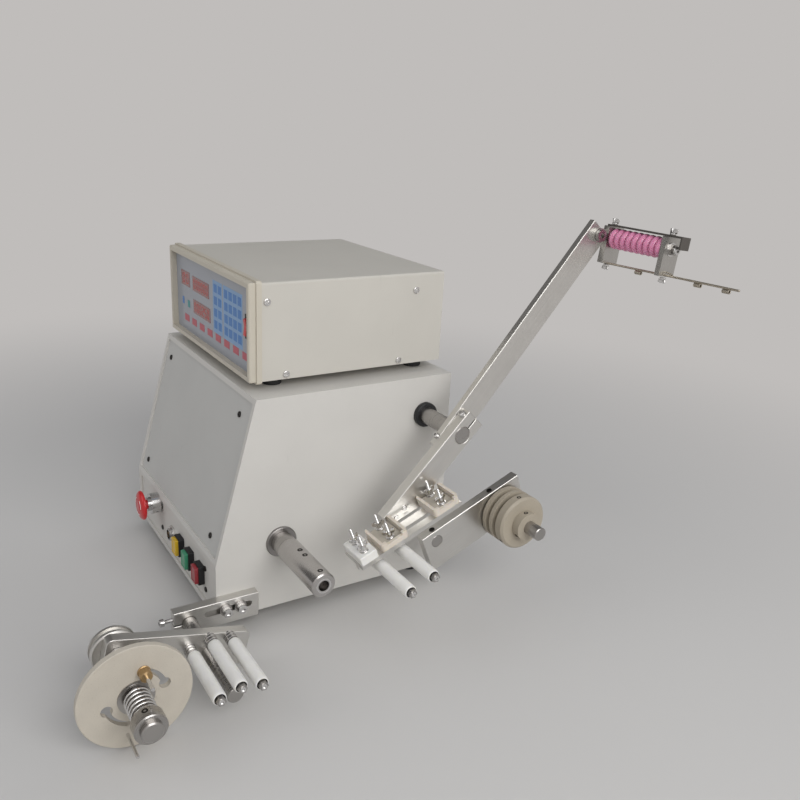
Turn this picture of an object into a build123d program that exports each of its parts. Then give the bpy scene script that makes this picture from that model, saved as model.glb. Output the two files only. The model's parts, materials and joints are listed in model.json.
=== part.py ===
"""Bench-top wire coil winding machine with a traversing wire guide and a braked wire reel.

Millimetres. +X points out of the spindle side, -Y faces the operator, +Z is up. The origin
is the middle of the housing's footprint, on the bench.
"""
import math
import os

from build123d import *

os.makedirs("parts", exist_ok=True)

# ---------------------------------------------------------------- driving dimensions
RUN = 0.05            # radial running clearance of a shaft in its bearing
GAP = 0.3             # clearance between pieces that move past each other
SHEET = 2.0           # housing sheet thickness

# housing
HOUSE_W = 300.0       # across, along X
FRONT_Y = -150.0      # vertical strip at the foot of the front
BACK_Y = 150.0
FOOT_H = 15.0
FOOT_R = 15.0
FOOT_INSET = 28.0
BEND_Z = 83.5         # where the front leans back
TOP_FRONT_Y = -101.0
TOP_Z = 270.0
PANEL_LIP = 6.0       # rim of sheet left round each inset front panel
PANEL_LAP = 5.0       # how far a panel reaches behind that rim
STRIP_PANEL_X = (-140.0, 126.0)

# winding spindle
SPINDLE_Y, SPINDLE_Z = -72.3, 97.0
SPINDLE_R = 10.0
BEARING_OUT_R = 18.4
BEARING_PROUD = 3.0
SPINDLE_NECK_R = 13.0
SPINDLE_NECK_END = 171.0
SLEEVE_R = 13.6
SLEEVE_CORE_R = 9.0
SLEEVE_END = 257.0
NOSE_BORE_R = 6.0
NOSE_DEPTH = 22.0
SPINDLE_TAIL_X = 40.0

# belt drive inside the housing
BELT_X = 90.0
PULLEY_W = 14.0
PULLEY_LIP = 1.5
SPINDLE_PULLEY_TEETH = 40
MOTOR_PULLEY_TEETH = 20
TOOTH_PITCH = 5.0
MOTOR_Y, MOTOR_Z = 25.0, 75.0
MOTOR_R = 45.0
MOTOR_L = 130.0
MOTOR_SHAFT_R = 6.0

# traverse
ROD_Y, ROD_Z = 114.0, 223.0
ROD_R = 10.0
ROD_END = 228.5
ROD_TAIL_X = -38.0
BUSH_R = 15.0
BUSH_NECK_R = 13.5
BUSH_PROUD = 6.0
CARRIAGE_L = 36.0
CARRIAGE_W = 40.0
SCREW_DROP = 32.0     # lead screw below the rod
GUIDE_DROP = 62.0     # guide rod below the rod
LEAD_SCREW_R = 5.0
GUIDE_ROD_R = 6.0
SCREW_MOTOR_R = 28.0
SCREW_MOTOR_L = 50.0

# arms clamped on the traverse rod
ARM_T = 8.0
ARM_W = 30.0
ARM_TILT = 49.6
ARM_L = 294.0
ARM_TAIL = 27.0
BAR_T = 13.5
BAR_W = 28.0
BAR_TILT = 45.5
BAR_HEAD = 25.0
BAR_L = 128.0
SLIT_W = 1.6

# ceramic guide unit at the top of the arm
UNIT_TILT = -7.0
UNIT_SETBACK = 9.3    # unit's tilt screw before the arm's upper end
UNIT_S = (9.4, 33.4)  # back and front of the blocks, from the tilt screw
UNIT_FOOT, UNIT_TOP = -31.0, 12.2
LEFT_BLOCK_T = 8.5
RIGHT_BLOCK_T = 6.5
TAB_T = 4.0
TAB_H = 16.0
TILT_SCREW_R = 4.0
DISC_COUNT = 9
CERAMIC_R = 12.0
CERAMIC_T = 8.7
CERAMIC_BULGE = 4.5
CERAMIC_AXLE_R = 4.0
AXLE_S, AXLE_T = 20.0, -1.2
AXLE_NUT_R = 6.5
AXLE_NUT_T = 5.0
TOP_PLATE_W = 14.0
TOP_PLATE_T = 2.0
TOP_PLATE_OVER = 16.0  # past the right block
TOP_PLATE_LEAF = 14.0
WIRE_RAIL_R = 1.25
WIRE_RAIL_L = 189.0
WIRE_RAIL_RISE = 0.9  # degrees
EYELET_R = 3.0
EYELET_L = 12.0
EYELET_AT = (49.0, 132.0, 168.0)

# wire guide head on the lower bar
HEAD_TILT = 22.0
HEAD_Y, HEAD_Z = -33.4, 113.6   # lower left end of the plate's top face
HEAD_L = 133.0
HEAD_W = 38.5
HEAD_T = 5.3
WEB_T = 5.0
WEB_H = 30.0
WEB_S = (6.0, 112.0)
SLOT_W = 5.2
SLOT_L = 40.0
SLOT_S = 83.0
SLOT_X = (9.0, 26.0)  # from the plate's back edge
BLOCK_S, BLOCK_W, BLOCK_L, BLOCK_H = 1.0, 21.0, 38.0, 10.0
GUARD_S = (28.0, 98.0)
GUARD_W = 34.0
GUARD_WALL = 3.5
GUARD_H = 9.5
GUARD_LIP = 6.5       # front wall of a guard, lower than its sides
PAD_T = 4.0
BLOCK_SCREWS = (11.0, 30.0)  # from the plate's back edge
GUARD_SCREWS = (5.0, 27.0)
STUD_R = 1.8
STUD_H = 20.0
KNOB_R = 3.6
ROLLER_S = (21.0, 50.0)
ROLLER_DROP = 14.5    # roller axes below the plate's top face
GUIDE_SPACER = 16.0   # from the web to the rollers

# wire rollers, the same on the guide head and the tension bar
ROLLER_R = 6.9
ROLLER_PIN_R = 3.0
ROLLER_L = 74.0
SPACER_R = 5.8
NUT_R = 4.8
NUT_T = 4.0

# grooved pulley on its swinging plate
PLATE_ROD_Y, PLATE_ROD_Z = 89.5, 95.0
PLATE_ROD_R = 7.5
ROD_FLANGE_R, ROD_FLANGE_T = 15.5, 10.0
PLATE_TILT = 22.5
PLATE_FRONT_X = 228.0
PLATE_T = 12.0
PLATE_W = 49.0
PLATE_DROP = 10.7     # middle of the plate below its rod
PLATE_TAIL = 17.0
PLATE_L = 128.0
PULLEY_REACH, PULLEY_DROP = 95.3, 19.5
PULLEY_R = 32.5
PULLEY_GROOVE_R = 21.5
PULLEY_FLANGE = 5.0
PULLEY_FRONT = 12.0   # thick front flange
PULLEY_BEVEL = 2.5
PULLEY_GROOVE = 7.0
GROOVE_DRAFT = 0.8
PULLEY_HUB_R = 17.0
PULLEY_HUB = 11.0
PULLEY_AXLE_R = 8.0
PULLEY_AXLE_END = 297.0

# slotted block and tension shaft, low on the spindle side
CARRIER_Y = (-201.5, -105.0)
CARRIER_Z = (17.5, 46.5)
CARRIER_T = 12.0
CARRIER_SLOT_Y = (-168.0, -113.0)
CARRIER_SLOT_W = 7.0
CARRIER_SLOT_Z = 35.5
CARRIER_SCREW_Y = (-144.0, -127.0)
CARRIER_SCREW_R = 3.0
SHAFT_Y, SHAFT_Z = -185.0, 31.0
SHAFT_R = 8.0
SHAFT_END = 297.0

# tension bar with its rollers and the wire reel spindle
TBAR_X = 210.0
TBAR_T = 12.0
TBAR_TILT = -13.6
TBAR_H = 38.0
TBAR_RISE = 3.5       # middle of the bar above the tension shaft
TBAR_TAIL = 42.0
TBAR_L = 106.0
TENSION_SPACER = 12.0 # from the bar to its rollers
TROLLER_YZ = ((-204.5, 42.0), (-183.5, 48.3), (-162.5, 43.8))
REEL_REACH, REEL_RISE = 91.6, 0.85   # from the tension shaft, along and across the bar
REEL_SHOULDER_R = 14.0
REEL_R = 10.0
REEL_END = 336.0
REEL_TAIL_X = 193.0
DRUM_R = 23.5
DRUM_WAIST_R = 21.8
DRUM_W = 12.0
DRUM_RIM = 2.5
DRUM_BEVEL = 1.5
DISC_X = 277.0
DISC_T = 6.0
DISC_R = 52.5
KEYHOLE_R = 27.0
KEYHOLE_W = 5.0
KEYHOLE_EYE_R = 5.5
KEYHOLE_FROM, KEYHOLE_TO = 13.0, 70.0
WASHER_R, WASHER_T = 17.0, 1.4
SPRING_WIRE = 2.4
SPRING_MEAN_R = 11.6
SPRING_TURNS = 5.5
COLLAR_X = 316.5
COLLAR_T = 15.0
COLLAR_R = 15.0

# front controls
ESTOP_X, ESTOP_Z = -62.0, 69.5
ESTOP_HEAD_R = 19.0
ESTOP_HEAD_T = 7.0
ESTOP_COLLAR_R = 13.5
ESTOP_COLLAR_T = 11.0
ESTOP_NECK_R = 9.0
ESTOP_NECK = 15.0     # end of the neck in front of the housing
ESTOP_STEM_R = 6.0
ESTOP_TRAVEL = 4.0
ESTOP_BODY = 26.0     # behind the panel
ESTOP_BORE, ESTOP_STEM = 14.0, 8.0
SOCKET_X, SOCKET_Z = -8.0, 49.0
SOCKET_R = 9.0
SOCKET_NUT = 3.0
SOCKET_PROUD = 6.5
SOCKET_TAIL = 14.0
SOCKET_POCKET_R, SOCKET_POCKET = 6.5, 8.0
BUTTON_X = (26.0, 62.0, 98.0)
BUTTON_Z = 50.0
BUTTON_W, BUTTON_H = 18.0, 24.0
BUTTON_PROUD = 7.0
BUTTON_WALL = 1.5
BUTTON_NECK = 2.0     # narrower where a button passes the panel
BUTTON_TAIL = 20.0
BUTTON_INSERT = 4.0   # depth of a cap inside its body
BUTTON_TRAVEL = 2.0

# controller standing on the housing
CTRL_X = (-137.5, 125.5)
CTRL_Y = (-85.0, 147.5)
CTRL_FOOT_H = 11.0
CTRL_FOOT_R = 9.0
CTRL_H = 108.0
CTRL_SHEET = 1.5
BEZEL_OVER = 2.5
BEZEL_COLLAR = 6.0
BEZEL_DEPTH = 8.0
BEZEL_RIM = 8.0
KEYPAD_T = 3.0
KEYPAD_RECESS = 7.0
ROCKER_X, ROCKER_Z = 107.0, 338.0
ROCKER_W, ROCKER_H = 9.0, 24.0


def keep(piece, label):
    """Name a finished piece and write it as its own STEP file."""
    piece.part.label = label
    export_step(piece.part, f"parts/{label}.step")


def tilted(x, y, z, degrees):
    """Plane square to X at a point, its own x axis leaning up from +Y by the given angle."""
    lean = math.radians(degrees)
    return Plane(
        origin=(x, y, z),
        x_dir=(0, math.cos(lean), math.sin(lean)),
        z_dir=(1, 0, 0),
    )


def side(x):
    """Plane square to X, with its own x along Y and its own y along Z."""
    return Plane.YZ.offset(x)


# ================================================================ housing
half_w = HOUSE_W / 2
outline = (
    (FRONT_Y, FOOT_H),
    (FRONT_Y, BEND_Z),
    (TOP_FRONT_Y, TOP_Z),
    (BACK_Y, TOP_Z),
    (BACK_Y, FOOT_H),
)
slope_rise = TOP_Z - BEND_Z
slope_run = TOP_FRONT_Y - FRONT_Y
slope_l = math.hypot(slope_rise, slope_run)
slope_plane = Plane(
    origin=(0, FRONT_Y, BEND_Z),
    x_dir=(1, 0, 0),
    z_dir=(0, -slope_rise, slope_run),
)
strip_plane = Plane(origin=(0, FRONT_Y, FOOT_H), x_dir=(1, 0, 0), z_dir=(0, -1, 0))
strip_l = BEND_Z - FOOT_H
strip_panel_w = STRIP_PANEL_X[1] - STRIP_PANEL_X[0]
strip_panel_mid = (STRIP_PANEL_X[0] + STRIP_PANEL_X[1]) / 2
side_holes = (
    (SPINDLE_Y, SPINDLE_Z, BEARING_OUT_R),
    (ROD_Y, ROD_Z, BUSH_NECK_R),
    (PLATE_ROD_Y, PLATE_ROD_Z, PLATE_ROD_R),
)
estop_spot = (ESTOP_X, ESTOP_Z - FOOT_H)

with BuildPart() as housing_shell:
    with BuildSketch(side(-half_w)):
        with BuildLine():
            Polyline(*outline, close=True)
        make_face()
    extrude(amount=HOUSE_W)
    with BuildSketch(side(-half_w + SHEET)):
        with BuildLine():
            Polyline(*outline, close=True)
        make_face()
        offset(amount=-SHEET, kind=Kind.INTERSECTION)
    extrude(amount=HOUSE_W - 2 * SHEET, mode=Mode.SUBTRACT)
    with BuildSketch(Plane.XY.offset(FOOT_H)):
        Rectangle(HOUSE_W - 2 * SHEET, BACK_Y - FRONT_Y - 2 * SHEET)
    extrude(amount=2 * SHEET, mode=Mode.SUBTRACT)
    with BuildSketch(slope_plane):
        with Locations((0, slope_l / 2)):
            RectangleRounded(HOUSE_W - 2 * PANEL_LIP, slope_l - 2 * PANEL_LIP, 3)
    extrude(amount=-2 * SHEET, mode=Mode.SUBTRACT)
    with BuildSketch(strip_plane):
        with Locations((strip_panel_mid, strip_l / 2)):
            RectangleRounded(strip_panel_w, strip_l - 2 * PANEL_LIP, 3)
        with Locations(estop_spot):
            Circle(ESTOP_NECK_R + GAP)
    extrude(amount=-2 * SHEET, mode=Mode.SUBTRACT)
    for hole_y, hole_z, hole_r in side_holes:
        with BuildSketch(side(half_w)):
            with Locations((hole_y, hole_z)):
                Circle(hole_r)
        extrude(amount=-2 * SHEET, mode=Mode.SUBTRACT)
keep(housing_shell, "housing_shell")

with BuildPart() as front_panel:
    with BuildSketch(slope_plane.offset(-SHEET)):
        with Locations((0, slope_l / 2)):
            lap_w = HOUSE_W - 2 * PANEL_LIP + 2 * (PANEL_LAP - SHEET)
            Rectangle(lap_w, slope_l - 2 * PANEL_LIP + PANEL_LAP)
    extrude(amount=-SHEET)
keep(front_panel, "front_panel")

button_l = strip_l - 2 * PANEL_LIP + PANEL_LAP
with BuildPart() as button_panel:
    with BuildSketch(strip_plane.offset(-SHEET)):
        with Locations((strip_panel_mid, strip_l / 2)):
            Rectangle(strip_panel_w + 2 * (PANEL_LAP - SHEET), button_l)
        with Locations(estop_spot):
            Circle(ESTOP_NECK_R, mode=Mode.SUBTRACT)
        with Locations((SOCKET_X, SOCKET_Z - FOOT_H)):
            Circle(SOCKET_R - 1, mode=Mode.SUBTRACT)
        for button_x in BUTTON_X:
            with Locations((button_x, BUTTON_Z - FOOT_H)):
                Rectangle(BUTTON_W - 2 * BUTTON_NECK, BUTTON_H - 2 * BUTTON_NECK, mode=Mode.SUBTRACT)
    extrude(amount=-SHEET)
keep(button_panel, "button_panel")

with BuildPart() as base_plate:
    with BuildSketch(Plane.XY.offset(FOOT_H)):
        Rectangle(HOUSE_W - 2 * SHEET, BACK_Y - FRONT_Y - 2 * SHEET)
    extrude(amount=SHEET)
keep(base_plate, "base_plate")

foot_span = HOUSE_W - 2 * FOOT_INSET
with BuildPart() as rubber_feet:
    with GridLocations(foot_span, foot_span, 2, 2):
        Cone(FOOT_R - 2.5, FOOT_R, FOOT_H, align=(Align.CENTER, Align.CENTER, Align.MIN))
    fillet(rubber_feet.edges().group_by(Axis.Z)[0], 1.2)
keep(rubber_feet, "rubber_feet")

# ================================================================ winding spindle
wall_in = half_w - SHEET
block_foot = FOOT_H + SHEET
with BuildPart() as spindle_bearings:
    with BuildSketch(side(wall_in)):
        with Locations((SPINDLE_Y, SPINDLE_Z)):
            Circle(BEARING_OUT_R + 12)
    extrude(amount=-8)
    with BuildSketch(side(wall_in - 30)):
        with Locations((SPINDLE_Y, SPINDLE_Z)):
            Circle(BEARING_OUT_R)
    extrude(amount=30 + SHEET + BEARING_PROUD)
    with BuildSketch(side(SPINDLE_TAIL_X + 6)):
        with Locations((SPINDLE_Y, (SPINDLE_Z + block_foot) / 2)):
            Rectangle(44, SPINDLE_Z - block_foot)
        with Locations((SPINDLE_Y, SPINDLE_Z)):
            Circle(22)
    extrude(amount=18)
    with BuildSketch(side(SPINDLE_TAIL_X)):
        with Locations((SPINDLE_Y, SPINDLE_Z)):
            Circle(SPINDLE_R + RUN)
    extrude(amount=half_w, mode=Mode.SUBTRACT)
    fillet(spindle_bearings.edges().group_by(Axis.X)[-1].sort_by(SortBy.LENGTH)[-1], 1.5)
keep(spindle_bearings, "spindle_bearings")

with BuildPart() as spindle_sleeve:
    with BuildSketch(side(SPINDLE_NECK_END)):
        with Locations((SPINDLE_Y, SPINDLE_Z)):
            Circle(SLEEVE_R)
    extrude(amount=SLEEVE_END - SPINDLE_NECK_END)
    chamfer(spindle_sleeve.edges().filter_by(GeomType.CIRCLE), 1.4)
    with BuildSketch(side(SPINDLE_NECK_END)):
        with Locations((SPINDLE_Y, SPINDLE_Z)):
            Circle(SLEEVE_CORE_R)
    extrude(amount=SLEEVE_END - NOSE_DEPTH - SPINDLE_NECK_END, mode=Mode.SUBTRACT)
    with BuildSketch(side(SLEEVE_END)):
        with Locations((SPINDLE_Y, SPINDLE_Z)):
            Circle(NOSE_BORE_R)
    extrude(amount=-NOSE_DEPTH, mode=Mode.SUBTRACT)
keep(spindle_sleeve, "spindle_sleeve")


def pulley_radius(teeth):
    """Pitch radius of a toothed belt pulley."""
    return teeth * TOOTH_PITCH / (2 * math.pi)


neck_x = half_w + BEARING_PROUD + GAP
spindle_pulley_r = pulley_radius(SPINDLE_PULLEY_TEETH)
with BuildPart() as spindle_shaft:
    with BuildSketch(side(BELT_X)):
        with Locations((SPINDLE_Y, SPINDLE_Z)):
            Circle(spindle_pulley_r)
            with PolarLocations(spindle_pulley_r, SPINDLE_PULLEY_TEETH):
                Circle(TOOTH_PITCH / 4, mode=Mode.SUBTRACT)
    extrude(amount=PULLEY_W)
    shaft_steps = (
        (SPINDLE_TAIL_X, neck_x, SPINDLE_R),
        (BELT_X - PULLEY_LIP, BELT_X, spindle_pulley_r + 2),
        (BELT_X + PULLEY_W, BELT_X + PULLEY_W + PULLEY_LIP, spindle_pulley_r + 2),
        (neck_x, SPINDLE_NECK_END, SPINDLE_NECK_R),
        (SPINDLE_NECK_END, SLEEVE_END - NOSE_DEPTH, SLEEVE_CORE_R),
    )
    for step_x, step_end, step_r in shaft_steps:
        with BuildSketch(side(step_x)):
            with Locations((SPINDLE_Y, SPINDLE_Z)):
                Circle(step_r)
        extrude(amount=step_end - step_x)
keep(spindle_shaft, "spindle_shaft")

motor_x = BELT_X - 12 - MOTOR_L
with BuildPart() as spindle_motor:
    with BuildSketch(side(motor_x)):
        with Locations((MOTOR_Y, MOTOR_Z)):
            Circle(MOTOR_R)
        with Locations((MOTOR_Y, (MOTOR_Z + block_foot) / 2)):
            Rectangle(MOTOR_R, MOTOR_Z - block_foot)
    extrude(amount=MOTOR_L)
    with BuildSketch(side(motor_x + MOTOR_L)):
        with Locations((MOTOR_Y, MOTOR_Z)):
            Circle(MOTOR_SHAFT_R + RUN)
    extrude(amount=-20, mode=Mode.SUBTRACT)
keep(spindle_motor, "spindle_motor")

motor_pulley_r = pulley_radius(MOTOR_PULLEY_TEETH)
with BuildPart() as motor_pulley:
    with BuildSketch(side(BELT_X)):
        with Locations((MOTOR_Y, MOTOR_Z)):
            Circle(motor_pulley_r)
            with PolarLocations(motor_pulley_r, MOTOR_PULLEY_TEETH):
                Circle(TOOTH_PITCH / 4, mode=Mode.SUBTRACT)
    extrude(amount=PULLEY_W)
    for flange_x in (BELT_X - PULLEY_LIP, BELT_X + PULLEY_W):
        with BuildSketch(side(flange_x)):
            with Locations((MOTOR_Y, MOTOR_Z)):
                Circle(motor_pulley_r + 2)
        extrude(amount=PULLEY_LIP)
    with BuildSketch(side(motor_x + MOTOR_L - 20 + GAP)):
        with Locations((MOTOR_Y, MOTOR_Z)):
            Circle(MOTOR_SHAFT_R)
    extrude(amount=34)
keep(motor_pulley, "motor_pulley")

# ================================================================ traverse
screw_z = ROD_Z - SCREW_DROP
guide_z = ROD_Z - GUIDE_DROP
with BuildPart() as traverse_bush:
    with BuildSketch(side(wall_in - 26)):
        with Locations((ROD_Y, ROD_Z)):
            Circle(BUSH_NECK_R)
    extrude(amount=26 + SHEET)
    with BuildSketch(side(half_w)):
        with Locations((ROD_Y, ROD_Z)):
            Circle(BUSH_R)
    extrude(amount=BUSH_PROUD)
    with BuildSketch(side(wall_in - 6)):
        with Locations((ROD_Y, ROD_Z)):
            RegularPolygon(BUSH_R + 3, 6)
    extrude(amount=6)
    fillet(traverse_bush.edges().group_by(Axis.X)[-1], 1.5)
    with BuildSketch(side(wall_in - 26)):
        with Locations((ROD_Y, ROD_Z)):
            Circle(ROD_R + RUN)
    extrude(amount=26 + SHEET + BUSH_PROUD, mode=Mode.SUBTRACT)
keep(traverse_bush, "traverse_bush")

carriage_bores = ((screw_z, LEAD_SCREW_R + RUN), (guide_z, GUIDE_ROD_R + RUN))
with BuildPart() as traverse_rod:
    with BuildSketch(side(ROD_TAIL_X)):
        with Locations((ROD_Y, ROD_Z)):
            Circle(ROD_R)
    extrude(amount=ROD_END - ROD_TAIL_X)
    chamfer(traverse_rod.edges().group_by(Axis.X)[-1], 0.8)
    with BuildSketch(side(ROD_TAIL_X)):
        with Locations((ROD_Y, ROD_Z - GUIDE_DROP / 2)):
            SlotCenterToCenter(GUIDE_DROP, CARRIAGE_W, rotation=90)
    extrude(amount=CARRIAGE_L)
    for bore_z, bore_r in carriage_bores:
        with BuildSketch(side(ROD_TAIL_X)):
            with Locations((ROD_Y, bore_z)):
                Circle(bore_r)
        extrude(amount=CARRIAGE_L, mode=Mode.SUBTRACT)
keep(traverse_rod, "traverse_rod")

with BuildPart() as traverse_frame:
    with BuildSketch(side(-wall_in)):
        with Locations((ROD_Y, screw_z)):
            RectangleRounded(2 * SCREW_MOTOR_R, 0.85 * GUIDE_DROP, 4)
    extrude(amount=SCREW_MOTOR_L)
    with BuildSketch(side(-wall_in)):
        with Locations((ROD_Y, guide_z)):
            Circle(GUIDE_ROD_R)
    extrude(amount=2 * wall_in)
    with BuildSketch(side(-wall_in + SCREW_MOTOR_L)):
        with Locations((ROD_Y, screw_z)):
            Circle(LEAD_SCREW_R + RUN)
    extrude(amount=-20, mode=Mode.SUBTRACT)
keep(traverse_frame, "traverse_frame")

screw_x = -wall_in + SCREW_MOTOR_L - 20 + GAP
with BuildPart() as lead_screw:
    with BuildSketch(side(screw_x)):
        with Locations((ROD_Y, screw_z)):
            Circle(LEAD_SCREW_R)
    extrude(amount=wall_in - 40 - screw_x)
keep(lead_screw, "lead_screw")

# ================================================================ upper arm and lower bar
arm_x = ROD_END - BAR_T - GAP - ARM_T
arm_plane = tilted(arm_x, ROD_Y, ROD_Z, ARM_TILT)
with BuildPart() as upper_arm:
    with BuildSketch(arm_plane):
        with Locations(((ARM_L - ARM_TAIL) / 2, 0)):
            Rectangle(ARM_L + ARM_TAIL, ARM_W)
        Circle(ROD_R + RUN, mode=Mode.SUBTRACT)
        with Locations((ARM_L - UNIT_SETBACK, 0)):
            Circle(TILT_SCREW_R, mode=Mode.SUBTRACT)
        with Locations((-ARM_TAIL, 0)):
            Rectangle(2 * (ARM_TAIL - ROD_R) + 2, SLIT_W, mode=Mode.SUBTRACT)
    extrude(amount=ARM_T)
    chamfer(upper_arm.faces().filter_by(Axis.X).sort_by(Axis.X)[-1].outer_wire().edges(), 0.6)
keep(upper_arm, "upper_arm")

bar_x = ROD_END - BAR_T
bar_plane = tilted(bar_x, ROD_Y, ROD_Z, BAR_TILT)
with BuildPart() as lower_bar:
    with BuildSketch(bar_plane):
        with Locations(((BAR_HEAD - BAR_L) / 2, 0)):
            Rectangle(BAR_HEAD + BAR_L, BAR_W)
        Circle(ROD_R + RUN, mode=Mode.SUBTRACT)
        with Locations((BAR_HEAD, 0)):
            Rectangle(2 * (BAR_HEAD - ROD_R) + 2, SLIT_W, mode=Mode.SUBTRACT)
    extrude(amount=BAR_T)
    chamfer(lower_bar.faces().filter_by(Axis.X).sort_by(Axis.X)[-1].outer_wire().edges(), 0.6)
keep(lower_bar, "lower_bar")

# ================================================================ ceramic guide unit
unit_x = arm_x + ARM_T + RUN
arm_lean = math.radians(ARM_TILT)
unit_reach = ARM_L - UNIT_SETBACK
unit_y = ROD_Y + unit_reach * math.cos(arm_lean)
unit_z = ROD_Z + unit_reach * math.sin(arm_lean)
unit_plane = tilted(unit_x, unit_y, unit_z, UNIT_TILT)
axle_spot = unit_plane.from_local_coords((AXLE_S, AXLE_T, 0))
stack_x = unit_x + LEFT_BLOCK_T + GAP
right_x = stack_x + DISC_COUNT * CERAMIC_T + GAP
unit_end = right_x + RIGHT_BLOCK_T
block_w = UNIT_S[1] - UNIT_S[0]
block_mid_s = sum(UNIT_S) / 2
rail_rise = math.radians(WIRE_RAIL_RISE)
rail_out = unit_plane.from_local_coords((0, math.sin(rail_rise), math.cos(rail_rise)))
rail_plane = Plane(
    unit_plane.from_local_coords((block_mid_s, UNIT_FOOT, 0)),
    x_dir=unit_plane.x_dir,
    z_dir=rail_out - unit_plane.origin,
)

with BuildPart() as unit_blocks:
    for block_x, block_t in ((unit_x, LEFT_BLOCK_T), (right_x, RIGHT_BLOCK_T)):
        with BuildSketch(unit_plane.offset(block_x - unit_x)):
            with Locations((block_mid_s, (UNIT_FOOT + UNIT_TOP) / 2)):
                Rectangle(block_w, UNIT_TOP - UNIT_FOOT)
        extrude(amount=block_t)
    chamfer(unit_blocks.edges().filter_by(Axis.X), 0.8)
    with BuildSketch(unit_plane):
        with Locations((UNIT_S[0] / 2, 0)):
            SlotOverall(UNIT_S[0] + TAB_H, TAB_H)
        Circle(TILT_SCREW_R + RUN, mode=Mode.SUBTRACT)
    extrude(amount=TAB_T)
    with BuildSketch(unit_plane):
        with Locations((AXLE_S, AXLE_T)):
            Circle(CERAMIC_AXLE_R)
    extrude(amount=unit_end - unit_x, mode=Mode.SUBTRACT)
    with BuildSketch(rail_plane):
        Circle(WIRE_RAIL_R)
    extrude(amount=WIRE_RAIL_L, mode=Mode.SUBTRACT)
keep(unit_blocks, "unit_blocks")

with BuildPart() as tilt_screw:
    with BuildSketch(unit_plane.offset(-ARM_T - RUN)):
        Circle(TILT_SCREW_R)
    extrude(amount=ARM_T + RUN + TAB_T + GAP)
    with BuildSketch(unit_plane.offset(TAB_T + GAP)):
        Circle(1.7 * TILT_SCREW_R)
        RegularPolygon(0.8 * TILT_SCREW_R, 6, mode=Mode.SUBTRACT)
    extrude(amount=5)
keep(tilt_screw, "tilt_screw")

with BuildPart() as ceramic_axle:
    with BuildSketch(unit_plane):
        with Locations((AXLE_S, AXLE_T)):
            Circle(CERAMIC_AXLE_R)
    extrude(amount=unit_end + AXLE_NUT_T + 2 - unit_x)
    with BuildSketch(unit_plane.offset(unit_end - unit_x)):
        with Locations((AXLE_S, AXLE_T)):
            RegularPolygon(AXLE_NUT_R, 6)
    extrude(amount=AXLE_NUT_T)
keep(ceramic_axle, "ceramic_axle")

with BuildPart() as ceramic_discs:
    for disc in range(DISC_COUNT):
        with BuildSketch(Plane(origin=(stack_x + disc * CERAMIC_T, axle_spot.Y, axle_spot.Z),
                               x_dir=(1, 0, 0), z_dir=(0, -1, 0))):
            with BuildLine():
                bore_r = CERAMIC_AXLE_R + RUN
                edge_r = CERAMIC_R - CERAMIC_BULGE
                end = CERAMIC_T - RUN
                Polyline((RUN, bore_r), (RUN, edge_r))
                ThreePointArc((RUN, edge_r), (CERAMIC_T / 2, CERAMIC_R), (end, edge_r))
                Polyline((end, edge_r), (end, bore_r), (RUN, bore_r))
            make_face()
        revolve(axis=Axis((0, axle_spot.Y, axle_spot.Z), (1, 0, 0)))
keep(ceramic_discs, "ceramic_discs")

top_plate_l = unit_end + TOP_PLATE_OVER - unit_x
with BuildPart() as unit_top_plate:
    with BuildSketch(unit_plane):
        with Locations((block_mid_s, UNIT_TOP + TOP_PLATE_T / 2)):
            Rectangle(TOP_PLATE_W, TOP_PLATE_T)
    extrude(amount=top_plate_l)
    with BuildSketch(unit_plane.offset(top_plate_l)):
        with Locations((block_mid_s, UNIT_TOP + TOP_PLATE_T - TOP_PLATE_LEAF / 2)):
            Rectangle(TOP_PLATE_W, TOP_PLATE_LEAF)
    extrude(amount=-TOP_PLATE_T)
keep(unit_top_plate, "unit_top_plate")

with BuildPart() as wire_rail:
    with BuildSketch(rail_plane):
        Circle(WIRE_RAIL_R)
    extrude(amount=WIRE_RAIL_L)
    for eyelet_at in EYELET_AT:
        with BuildSketch(rail_plane.offset(eyelet_at)):
            with Locations((0, -EYELET_R)):
                Circle(EYELET_R)
                Circle(EYELET_R - 1, mode=Mode.SUBTRACT)
        extrude(amount=EYELET_L)
keep(wire_rail, "wire_rail")

# ================================================================ wire guide head
head_x = ROD_END
head_plane = tilted(head_x, HEAD_Y, HEAD_Z, HEAD_TILT)


def head_top(s, across, height=0.0):
    """Plane on the guide plate's top face: s along the plate, across from its back edge."""
    return Plane(
        head_plane.from_local_coords((s, height, across)),
        x_dir=head_plane.x_dir,
        z_dir=head_plane.y_dir,
    )


with BuildPart() as guide_plate:
    with BuildSketch(head_plane):
        with Locations((HEAD_L / 2, -HEAD_T / 2)):
            Rectangle(HEAD_L, HEAD_T)
    extrude(amount=HEAD_W)
    with BuildSketch(head_plane):
        with Locations(((WEB_S[0] + WEB_S[1]) / 2, -WEB_H / 2)):
            Rectangle(WEB_S[1] - WEB_S[0], WEB_H)
    extrude(amount=WEB_T)
    for slot_x in SLOT_X:
        with BuildSketch(head_top(SLOT_S, slot_x)):
            SlotOverall(SLOT_L, SLOT_W)
        extrude(amount=-HEAD_T, mode=Mode.SUBTRACT)
keep(guide_plate, "guide_plate")

with BuildPart() as wire_block:
    with BuildSketch(head_top(BLOCK_S + BLOCK_W / 2, HEAD_W - BLOCK_L / 2)):
        RectangleRounded(BLOCK_W, BLOCK_L, 1.5)
    extrude(amount=BLOCK_H)
    chamfer(wire_block.faces().sort_by(Axis.Z)[-1].edges(), 0.8)
keep(wire_block, "wire_block")

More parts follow.
